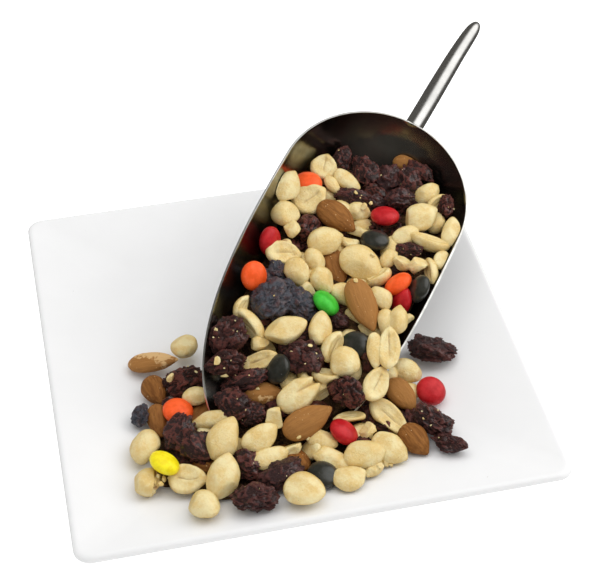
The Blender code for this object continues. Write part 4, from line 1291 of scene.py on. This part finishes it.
def use_mottle(tree, place, scale, stretch=(1.0, 1.0, 1.0)):
    shared = bpy.data.node_groups.get("cloudy_mottle") or mottle_group()
    node = put(tree, "ShaderNodeGroup", node_tree=shared, Scale=scale, Stretch=stretch)
    tree.links.new(place, node.inputs["Place"])
    return node.outputs["Mask"]


def use_specks(tree, place, scale, size):
    shared = bpy.data.node_groups.get("scattered_specks") or speck_group()
    node = put(tree, "ShaderNodeGroup", node_tree=shared, Scale=scale, Size=size)
    tree.links.new(place, node.inputs["Place"])
    return node.outputs["Mask"]


# Materials


def new_material(name, **values):
    """Material with a Principled shader; a value's name is its socket's, with _ for a space."""
    made = bpy.data.materials.new(name)
    made.use_nodes = True
    shader = made.node_tree.nodes["Principled BSDF"]
    for label, value in values.items():
        shader.inputs[label.replace("_", " ")].default_value = value
    return made, made.node_tree, shader


def piece_values(tree):
    """A piece's own coordinates in millimetres, its random number, its marks and its extra share."""
    grain = put(tree, "ShaderNodeAttribute", attribute_name="grain")
    tone = put(tree, "ShaderNodeAttribute", attribute_name="tone")
    parts = put(tree, "ShaderNodeSeparateColor")
    tree.links.new(tone.outputs["Color"], parts.inputs[0])
    return grain.outputs["Vector"], parts.outputs[0], parts.outputs[1], parts.outputs[2]


def raise_relief(tree, shader, height, distance, strength=1.0):
    """Bump from a height, in metres at 1."""
    bump = put(tree, "ShaderNodeBump", Strength=strength, Distance=distance)
    tree.links.new(height, bump.inputs["Height"])
    tree.links.new(bump.outputs[0], shader.inputs["Normal"])


def finish_surface(tree, shader, colour, mask, rough_low, rough_high):
    """Links the colour, and a roughness that follows a mask."""
    tree.links.new(colour, shader.inputs["Base Color"])
    tree.links.new(ramp(tree, mask, 0.0, 1.0, rough_low, rough_high), shader.inputs["Roughness"])


def peanut_material(settings):
    made, tree, shader = new_material(
        "blanched_peanut", Subsurface_Weight=0.08, Subsurface_Scale=0.002, Subsurface_Radius=(1.0, 0.6, 0.25),
        Specular_IOR_Level=0.45,
    )
    place, chance, mark, _ = piece_values(tree)
    fine = use_mottle(tree, place, 1.1)
    facing = put(tree, "ShaderNodeLayerWeight", Blend=0.5).outputs["Facing"]
    colour = layered(
        tree, settings.peanut,
        (use_mottle(tree, place, 0.16), settings.peanut_deep),
        (ramp(tree, chance, 0.55, 1.0, 0.0, 0.45), settings.peanut_deep),
        (ramp(tree, fine, 0.5, 1.0, 0.0, 0.22), (0.88, 0.76, 0.48)),
        # Painted shade: a deep brown at each peanut's edges, where its surface turns away from the eye.
        (ramp(tree, facing, 0.3, 0.95, 0.0, 0.7), (0.58, 0.39, 0.10)),
        (use_specks(tree, place, 0.42, 0.07), (0.46, 0.26, 0.09)),
        # Brown by the mark: the germ tip's own colour, painted shade in the seam, in the lobes' cleft and in
        # a half face's crease and hollow, and darker patches on a split kernel's broken part.
        (ramp(tree, mark, 0.1, 0.95, 0.0, 0.85), (0.30, 0.14, 0.045)),
    )
    finish_surface(tree, shader, colour, fine, 0.36, 0.54)
    raise_relief(tree, shader, fine, 0.00016, 0.7)
    return made


def almond_material(settings):
    made, tree, shader = new_material("almond_skin_wrinkled", Specular_IOR_Level=0.12)
    place, chance, mark, peel = piece_values(tree)
    streaks = use_mottle(tree, place, 0.9, (0.12, 1.0, 1.0))
    patch = ramp(tree, use_mottle(tree, place, 0.09), 0.55, 0.75)
    colour = layered(
        tree, settings.almond_deep,
        # Painted shade: lighter on the raised streaks that the bump follows, darker in their furrows, and
        # darker still in the marked furrows.
        (streaks, settings.almond),
        (ramp(tree, chance, 0.0, 1.0, 0.0, 0.35), (0.42, 0.19, 0.055)),
        (ramp(tree, mark, 0.3, 1.0, 0.0, 0.4), settings.almond_deep),
        (use_specks(tree, place, 0.55, 0.12), (0.66, 0.44, 0.22)),
        (ramp(tree, peel, 0.0, 0.5, 0.0, 0.55), (0.43, 0.205, 0.060)),
        (worked_out(tree, "MULTIPLY", patch, ramp(tree, peel, 0.5, 1.0)), (0.66, 0.42, 0.19)),
    )
    finish_surface(tree, shader, colour, streaks, 0.62, 0.44)
    raise_relief(tree, shader, streaks, 0.00020, 0.6)
    return made


def raisin_material(settings):
    made, tree, shader = new_material(
        "dried_fruit_sticky", Coat_Roughness=0.09, Coat_IOR=1.5, Specular_IOR_Level=0.12,
    )
    place, chance, mark, bloom = piece_values(tree)
    hazy = use_mottle(tree, place, 0.35)
    dusty = worked_out(tree, "MULTIPLY", ramp(tree, hazy, 0.0, 1.0, 0.35, 1.0), bloom)
    colour = layered(
        tree, settings.skin,
        # Painted shade: the dark crease colour over the marked creases, against the lighter skin of the
        # raised parts.
        (ramp(tree, mark, 0.05, 0.65), settings.crease),
        (ramp(tree, chance, 0.3, 1.0, 0.0, 0.5), (0.055, 0.022, 0.021)),
        (dusty, settings.bloom),
        (use_specks(tree, place, 0.7, 0.09), (0.42, 0.27, 0.17)),
    )
    fine = use_mottle(tree, place, 1.3)
    finish_surface(tree, shader, colour, fine, 0.26, 0.5)
    tree.links.new(ramp(tree, hazy, 0.1, 0.9, 0.9, 0.15), shader.inputs["Coat Weight"])
    raise_relief(tree, shader, fine, 0.0004)
    return made


def candy_material(name, colour, settings, coat):
    made, tree, shader = new_material(
        name, Roughness=settings.shell_gloss, Coat_Weight=coat, Coat_Roughness=0.08, Subsurface_Weight=0.05,
        Subsurface_Scale=0.001, Specular_IOR_Level=0.22,
    )
    place = piece_values(tree)[0]
    cloudy = use_mottle(tree, place, 0.25)
    paler = [min(part * 1.12 + 0.012, 1.0) for part in colour]
    deeper = [part * 0.86 for part in colour]
    dusty = [part * 0.5 + 0.35 for part in colour]
    shown = layered(tree, paler, (cloudy, deeper), (use_specks(tree, place, 0.5, 0.045), dusty))
    tree.links.new(shown, shader.inputs["Base Color"])
    raise_relief(tree, shader, cloudy, 0.00008, 0.5)
    return made


def bed_material():
    made, tree, shader = new_material("crumbs_in_shadow", Specular_IOR_Level=0.2)
    place = own_place(tree)
    coarse = use_mottle(tree, place, 260.0)
    fine = use_mottle(tree, place, 900.0)
    # Painted shade: the filling is a dark brown that stands for the shadowed depth between the pieces.
    colour = blend_colours(tree, coarse, (0.045, 0.022, 0.012), (0.16, 0.085, 0.035))
    finish_surface(tree, shader, colour, fine, 0.6, 0.9)
    raise_relief(tree, shader, fine, 0.0012)
    return made


def glaze_material(settings):
    made, tree, shader = new_material("white_porcelain_glaze", Specular_IOR_Level=0.3, Coat_Weight=0.1)
    place = own_place(tree)
    ripple = use_mottle(tree, place, 60.0)
    colour = layered(
        tree, settings.glaze,
        (use_mottle(tree, place, 18.0), [part * 0.975 for part in settings.glaze]),
        (use_specks(tree, place, 90.0, 0.018), (0.55, 0.53, 0.50)),
    )
    finish_surface(tree, shader, colour, ripple, settings.gloss - 0.04, settings.gloss + 0.05)
    raise_relief(tree, shader, ripple, 0.00006, 0.5)
    return made


def steel_material(name, settings, stretch, roughness):
    made, tree, shader = new_material(name, Metallic=1.0)
    place = own_place(tree)
    brushed = use_mottle(tree, place, 420.0, stretch)
    smudged = use_mottle(tree, place, 38.0)
    colour = blend_colours(tree, smudged, settings.steel, [part * 0.88 for part in settings.steel])
    tree.links.new(colour, shader.inputs["Base Color"])
    dull = ramp(tree, smudged, 0.0, 1.0, roughness, roughness + 0.07)
    tree.links.new(worked_out(tree, "MULTIPLY_ADD", brushed, 0.06, dull), shader.inputs["Roughness"])
    raise_relief(tree, shader, brushed, 0.00001, 0.6)
    return made


def inside_material(settings):
    """Scuffed steel, smudged with oil and specked with crumbs, its colour cut to under half of the polished
    sheet's: painted shade for the dark room that the inside mirrors.
    """
    made, tree, shader = new_material("scuffed_sheet_inside", Metallic=1.0)
    place = own_place(tree)
    smudged = use_mottle(tree, place, 55.0)
    streaks = use_mottle(tree, place, 300.0, (1.0, 1.0, 0.15))
    # Painted shade: 0.47 of the polished sheet's colour, which darkens everything the inside mirrors.
    dull = [part * factor for part, factor in zip(settings.steel, (0.47, 0.47, 0.47 * 0.92))]
    colour = layered(
        tree, dull,
        (smudged, [part * 0.72 for part in dull]),
        (use_specks(tree, place, 210.0, 0.05), (0.45, 0.38, 0.28)),
    )
    finish_surface(tree, shader, colour, smudged, 0.17, 0.27)
    raise_relief(tree, shader, streaks, 0.00001, 0.6)
    return made


def edge_material():
    """Bright cut edge of the sheet."""
    made, tree, shader = new_material("bright_cut_edge", Metallic=1.0)
    worn = use_mottle(tree, own_place(tree), 160.0)
    colour = blend_colours(tree, worn, (0.93, 0.92, 0.88), (0.80, 0.79, 0.75))
    finish_surface(tree, shader, colour, worn, 0.34, 0.5)
    return made


def floor_material():
    made, tree, shader = new_material(
        "pale_backdrop", Roughness=0.8, Specular_IOR_Level=0.1, Emission_Strength=0.45,
    )
    cloudy = use_mottle(tree, own_place(tree), 3.0)
    colour = blend_colours(tree, cloudy, (0.90, 0.90, 0.90), (0.885, 0.885, 0.885))
    tree.links.new(colour, shader.inputs["Base Color"])
    tree.links.new(colour, shader.inputs["Emission Color"])
    return made


# Operators

SHOWN = {}


def shown_pieces():
    """The placed pieces, worked out once for all operators."""
    if not SHOWN:
        SHOWN["heap"], SHOWN["loose"] = place_pieces()
    return SHOWN["heap"], SHOWN["loose"]


def under_pieces():
    if "below" not in SHOWN:
        heap, loose = shown_pieces()
        SHOWN["below"] = buried_pieces(heap + list(loose.values()), bpy.context.scene.mix_stage.bed_seed)
    return SHOWN["below"]


def gather(looks, base, pieces):
    batch = Batch()
    for piece in pieces:
        if piece.look in looks:
            batch.add(piece, base, EXTRA_SHARE.get(piece.look, 0.0))
    return batch


def build_mix(name, looks, base, surface, pieces=None, sharp=None):
    """One mesh of the heap's pieces that have these looks."""
    batch = gather(looks, base, pieces or shown_pieces()[0])
    finish_piece(batch.build(name, surface), "mixed_nuts", "trail_mix", sharp=sharp)


class MIX_OT_stage(bpy.types.Operator):
    """Puts in the floor, the lights, the surroundings and the camera"""

    bl_idname = "trailmix.stage"
    bl_label = "Stage"

    def execute(self, context):
        settings = context.scene.mix_stage
        context.scene.view_settings.view_transform = "Standard"
        floor = bpy.data.meshes.new("floor")
        corners = [(x * FLOOR_REACH, y * FLOOR_REACH, 0) for x, y in ((-1, -1), (1, -1), (1, 1), (-1, 1))]
        floor.from_pydata(corners, [], [(0, 1, 2, 3)])
        ground = add_object("floor", floor, floor_material())
        ground.visible_glossy = False
        for name, place, size in LIGHTS:
            self.add_light(name, place, size, getattr(settings, f"{name}_power"))
        self.surround(context, settings.ambient)
        self.add_camera(context)
        return {"FINISHED"}

    def add_light(self, name, place, size, power):
        lamp = bpy.data.lights.new(name, "AREA")
        lamp.shape = "DISK"
        lamp.size = size
        lamp.energy = power
        obj = add_object(name, lamp)
        obj.location = place
        obj.rotation_euler = (LIT_POINT - Vector(place)).to_track_quat("-Z", "Y").to_euler()
        obj.visible_glossy = False

    def surround(self, context, ambient):
        """White to the camera, soft light all round, and a dark room with a bright ceiling in mirrors."""
        world = bpy.data.worlds.new("studio")
        context.scene.world = world
        world.use_nodes = True
        tree = world.node_tree
        tree.nodes.clear()
        path = put(tree, "ShaderNodeLightPath").outputs
        soft = put(tree, "ShaderNodeBackground", Color=(1.0, 1.0, 1.0, 1.0), Strength=ambient)
        white = put(tree, "ShaderNodeBackground", Color=(1.0, 1.0, 1.0, 1.0), Strength=1.05)
        mirrored = put(tree, "ShaderNodeBackground", Strength=1.0)
        height = put(tree, "ShaderNodeVectorMath", operation="DOT_PRODUCT")
        height.inputs[1].default_value = (0.755, 0.127, 0.649)
        tree.links.new(put(tree, "ShaderNodeTexCoord").outputs["Generated"], height.inputs[0])
        share = ramp(tree, height.outputs["Value"], 0.72, 0.92)
        colour = blend_colours(tree, share, (0.095, 0.092, 0.084), (1.5, 1.5, 1.49))
        tree.links.new(colour, mirrored.inputs["Color"])
        direct = worked_out(tree, "SUBTRACT", path["Is Glossy Ray"], path["Diffuse Depth"], use_clamp=True)
        around = mix_shaders(tree, direct, soft.outputs[0], mirrored.outputs[0])
        final = mix_shaders(tree, path["Is Camera Ray"], around, white.outputs[0])
        tree.links.new(final, put(tree, "ShaderNodeOutputWorld").inputs[0])

    def add_camera(self, context):
        lens = bpy.data.cameras.new("camera")
        lens.sensor_width = 36.0
        lens.lens = FOCAL * lens.sensor_width / PICTURE_WIDTH
        lens.clip_end = 20.0
        camera = add_object("camera", lens)
        turned = Matrix(np.column_stack([RIGHT, RISE, TOWARD])).to_4x4()
        camera.matrix_world = Matrix.Translation(in_metres(EYE)) @ turned
        context.scene.camera = camera


class MIX_OT_plate(bpy.types.Operator):
    """Builds the glazed square plate"""

    bl_idname = "trailmix.plate"
    bl_label = "Plate"

    def execute(self, context):
        rings = [rounded_square(*ring) for ring in plate_rings()]
        mesh = loft("glazed_plate", rings)
        plate = add_object("glazed_plate", mesh, glaze_material(context.scene.mix_plate))
        finish_piece(plate, "white_glaze", "plate", sharp=50)
        return {"FINISHED"}


class MIX_OT_scoop(bpy.types.Operator):
    """Builds the scoop of polished sheet with its rounded rim, and the tube handle behind it"""

    bl_idname = "trailmix.scoop"
    bl_label = "Scoop"

    def execute(self, context):
        settings = context.scene.mix_scoop
        steel = steel_material("polished_sheet", settings, (1.0, 1.0, 0.1), 0.16)
        bowl = add_object("scoop_sheet", scoop_sheet("scoop_sheet"), steel)
        shell = bowl.modifiers.new("sheet", "SOLIDIFY")
        shell.thickness = settings.sheet
        shell.offset = 0.0
        edge = bowl.modifiers.new("rim", "BEVEL")
        edge.width = 0.25 * MM
        edge.segments = 2
        edge.limit_method = "ANGLE"
        edge.angle_limit = math.radians(50)
        apply_modifiers(bowl)
        self.tell_sides(bowl, settings)
        finish_piece(bowl, "polished_steel", "scoop_bowl", sharp=55)
        self.add_handle(settings)
        return {"FINISHED"}

    def tell_sides(self, bowl, settings):
        """Gives the inside its scuffed finish, darkened by painted shade, and the cut edge its bright one."""
        bowl.data.materials.append(inside_material(settings))
        bowl.data.materials.append(edge_material())
        for face in bowl.data.polygons:
            place = (np.array(face.center) - SHIFT) / MM - SCOOP_CENTRE
            away = (place @ SIDE) * SIDE + max(place @ BACK, 0.0) / BACK_STRETCH**2 * BACK + (place @ UP) * UP
            facing = np.array(face.normal) @ away / np.linalg.norm(away)
            face.material_index = 1 if facing < -0.6 else 0 if facing > 0.6 else 2

    def add_handle(self, settings):
        curve = bpy.data.curves.new("handle_route", "CURVE")
        curve.dimensions = "3D"
        curve.bevel_depth = MM
        curve.bevel_resolution = 12
        curve.use_fill_caps = True
        spline = curve.splines.new("POLY")
        route = smooth_route(np.array(HANDLE_ROUTE), 8)
        spline.points.add(len(route) - 1)
        for point, (x, behind, z, radius) in zip(spline.points, route):
            point.co = (*in_metres(from_scoop(x, BACK_REACH - behind, z)), 1.0)
            point.radius = radius * HANDLE_FIT
        tube = add_object("handle_tube", curve)
        mesh = finished_mesh(tube)
        bpy.data.objects.remove(tube, do_unlink=True)
        face_outward(mesh)
        steel = steel_material("polished_tube", settings, (1.0, 1.0, 1.0), 0.20)
        handle = add_object("handle_bar", mesh, steel)
        bpy.ops.mesh.primitive_uv_sphere_add(segments=64, ring_count=40, radius=1.0)
        back = bpy.context.object
        wide = (SCOOP_RADIUS + SHEET / 4) * MM
        size = Matrix.Diagonal((wide, (BACK_REACH + SHEET / 4) * MM, wide, 1.0))
        turned = Matrix(np.column_stack([SIDE, BACK, UP])).to_4x4()
        back.data.transform(Matrix.Translation(in_metres(SCOOP_CENTRE)) @ turned @ size)
        cut = handle.modifiers.new("back", "BOOLEAN")
        cut.operation = "DIFFERENCE"
        cut.object = back
        apply_modifiers(handle)
        bpy.data.objects.remove(back, do_unlink=True)
        finish_piece(handle, "polished_steel", "scoop_handle", sharp=40)


class MIX_OT_bed(bpy.types.Operator):
    """Builds the filling under the pieces that show, in the scoop and on the plate"""

    bl_idname = "trailmix.bed"
    bl_label = "Filling"

    def execute(self, context):
        surface = bed_material()
        for mesh in (self.scoop_filling(), self.spill_filling()):
            finish_piece(add_object(mesh.name, mesh, surface), "mixed_nuts", "trail_mix")
        return {"FINISHED"}

    def scoop_filling(self):
        clear = SHEET / 2 + GAP + FILLING_GAP
        rings = []
        for s in np.linspace(BACK_REACH - BACK_EDGE + 3, SCOOP_LENGTH - 12.0, 40):
            radius = float(scoop_radius(s)) - clear
            edge = []
            for side in (-1, 1):
                limit = math.acos(min(-float(rim_height(s)) / float(scoop_radius(s)), 1.0)) - 0.03
                turns = np.linspace(0, limit, 90)
                points = from_scoop(side * radius * np.sin(turns), s, -radius * np.cos(turns))
                under = points[:, 2] < filled_level(points) - BED_SINK
                edge.append(turns[under][-1] if under.any() else 0.02)
            turn = np.linspace(-edge[0], edge[1], 25)
            wall = from_scoop(radius * np.sin(turn), s, -radius * np.cos(turn))
            share = np.linspace(0, 1, 20)[1:-1]
            top = wall[-1] + (wall[0] - wall[-1]) * share[:, None]
            top[:, 2] = np.maximum(filled_level(top) - BED_SINK, top[:, 2])
            rings.append(np.vstack([wall, top]))
        return loft("filling_in_scoop", rings)

    def spill_filling(self):
        edge = np.vstack([OUTLINE, FILLING_UNDER_SCOOP]) - FILLING_MIDDLE
        angles = np.arctan2(edge[:, 1], edge[:, 0])
        order = np.argsort(angles)
        turn = np.linspace(-math.pi, math.pi, 97)[:-1]
        distance = np.minimum(np.linalg.norm(edge, axis=1), CORE_REACH)
        reach = np.interp(turn, angles[order], distance[order], period=2 * math.pi) - CORE_INSET - 3
        layers = []
        for share in FILLING_LAYERS:
            flat = FILLING_MIDDLE + (share * reach)[:, None] * np.column_stack([np.cos(turn), np.sin(turn)])
            floor = plate_height(flat[:, 0], flat[:, 1]) + GAP + 0.2
            level = np.minimum(spill_level(flat[:, 0], flat[:, 1]), scoop_level(flat[:, 0], flat[:, 1]))
            top = np.maximum(level - BED_SINK, floor + 1.2)
            layers.append((np.column_stack([flat, floor]), np.column_stack([flat, top])))
        return loft("filling_on_plate", [low for low, _ in reversed(layers)] + [high for _, high in layers])


WHOLE_LOOKS = ("nut", "seam", "lobes", "split", "roast")
HALF_LOOKS = ("dome", "face", "side")
ALMOND_LOOKS = ("almond", "tan", "peeled", "amber")
FRUIT_LOOKS = ("raisin", "bloom", "plum")
CANDY_COATS = {"dark": 0.6}


class MIX_OT_peanuts(bpy.types.Operator):
    """Builds the whole peanuts and the peanut halves"""

    bl_idname = "trailmix.peanuts"
    bl_label = "Peanuts"

    def execute(self, context):
        surface = peanut_material(context.scene.mix_nuts)
        build_mix("whole_peanuts", WHOLE_LOOKS, ball(52, 34), surface)
        build_mix("peanut_halves", HALF_LOOKS, ball(64, 46), surface)
        build_mix("lower_peanuts", WHOLE_LOOKS + HALF_LOOKS, ball(24, 16), surface, under_pieces())
        return {"FINISHED"}


class MIX_OT_crumbs(bpy.types.Operator):
    """Scatters crumbs of nut over the pieces"""

    bl_idname = "trailmix.crumbs"
    bl_label = "Crumbs"

    def execute(self, context):
        heap, loose = shown_pieces()
        crumbs = crumb_pieces(heap + list(loose.values()), context.scene.mix_stage.bed_seed)
        surface = peanut_material(context.scene.mix_nuts)
        build_mix("nut_crumbs", ("nut",), ball(14, 10), surface, crumbs, sharp=30)
        return {"FINISHED"}


class MIX_OT_almonds(bpy.types.Operator):
    """Builds the almonds of the heap"""

    bl_idname = "trailmix.almonds"
    bl_label = "Almonds"

    def execute(self, context):
        surface = almond_material(context.scene.mix_nuts)
        build_mix("whole_almonds", ALMOND_LOOKS, ball(64, 44), surface)
        build_mix("lower_almonds", ALMOND_LOOKS, ball(30, 20), surface, under_pieces())
        return {"FINISHED"}


class MIX_OT_fruit(bpy.types.Operator):
    """Builds the raisins and the other dried fruit of the heap"""

    bl_idname = "trailmix.fruit"
    bl_label = "Dried fruit"

    def execute(self, context):
        surface = raisin_material(context.scene.mix_fruit)
        build_mix("brown_raisins", ("raisin", "bloom"), round_ball(5), surface)
        build_mix("purple_raisins", ("plum",), round_ball(5), surface)
        build_mix("lower_raisins", FRUIT_LOOKS, round_ball(4), surface, under_pieces())
        return {"FINISHED"}


def shell_material(context, look):
    settings = context.scene.mix_candies
    coat = CANDY_COATS.get(look, 0.12)
    return candy_material(f"{look}_shell", tuple(getattr(settings, look)), settings, coat)


class MIX_OT_candies(bpy.types.Operator):
    """Builds the coated candies of the heap, one mesh for each colour"""

    bl_idname = "trailmix.candies"
    bl_label = "Candies"

    def execute(self, context):
        for look in ("red", "orange", "green", "dark"):
            build_mix(f"{look}_candies", (look,), ball(48, 32, False), shell_material(context, look))
        return {"FINISHED"}


class MIX_OT_loose(bpy.types.Operator):
    """Builds the pieces that lie apart at the edge of the spill"""

    bl_idname = "trailmix.loose"
    bl_label = "Loose pieces"

    def execute(self, context):
        scene = context.scene
        surfaces = {
            "nut": (peanut_material(scene.mix_nuts), "pale_peanut", ball(60, 40)),
            "almond": (almond_material(scene.mix_nuts), "almond_skin", ball(90, 60)),
            "raisin": (raisin_material(scene.mix_fruit), "dark_raisin", round_ball(6)),
            "red": (shell_material(context, "red"), "red_candy", ball(64, 40, False)),
            "yellow": (shell_material(context, "yellow"), "yellow_candy", ball(64, 40, False)),
        }
        for node, piece in shown_pieces()[1].items():
            surface, slot, base = surfaces[piece.look if piece.kind == "candy" else piece.kind]
            batch = gather((piece.look,), base, [piece])
            finish_piece(batch.build(f"{node}_finished", surface), slot, node)
        return {"FINISHED"}


class MIX_PT_panel(bpy.types.Panel):
    """Lists the steps that build the set, and its settings"""

    bl_label = "Trail mix"
    bl_idname = "MIX_PT_panel"
    bl_space_type = "VIEW_3D"
    bl_region_type = "UI"
    bl_category = "Trail mix"

    def draw(self, context):
        for step in STEPS:
            self.layout.operator(step.bl_idname)
        for name in SETTINGS:
            group = getattr(context.scene, name)
            box = self.layout.box()
            for prop in group.bl_rna.properties:
                if prop.identifier not in ("rna_type", "name"):
                    box.prop(group, prop.identifier)


STEPS = (
    MIX_OT_stage, MIX_OT_plate, MIX_OT_scoop, MIX_OT_bed, MIX_OT_peanuts, MIX_OT_almonds, MIX_OT_fruit,
    MIX_OT_candies, MIX_OT_crumbs, MIX_OT_loose,
)
SETTINGS = {
    "mix_plate": PlateSettings,
    "mix_scoop": ScoopSettings,
    "mix_nuts": NutSettings,
    "mix_fruit": FruitSettings,
    "mix_candies": CandySettings,
    "mix_stage": StageSettings,
}


def register():
    for name, group in SETTINGS.items():
        bpy.utils.register_class(group)
        setattr(bpy.types.Scene, name, PointerProperty(type=group))
    for step in STEPS:
        bpy.utils.register_class(step)
    bpy.utils.register_class(MIX_PT_panel)


def unregister():
    bpy.utils.unregister_class(MIX_PT_panel)
    for step in reversed(STEPS):
        bpy.utils.unregister_class(step)
    for name, group in SETTINGS.items():
        delattr(bpy.types.Scene, name)
        bpy.utils.unregister_class(group)


def main():
    register()
    bpy.ops.trailmix.stage()
    bpy.ops.trailmix.plate()
    bpy.ops.trailmix.scoop()
    bpy.ops.trailmix.bed()
    bpy.ops.trailmix.peanuts()
    bpy.ops.trailmix.almonds()
    bpy.ops.trailmix.fruit()
    bpy.ops.trailmix.candies()
    bpy.ops.trailmix.crumbs()
    bpy.ops.trailmix.loose()


if __name__ == "__main__":
    main()
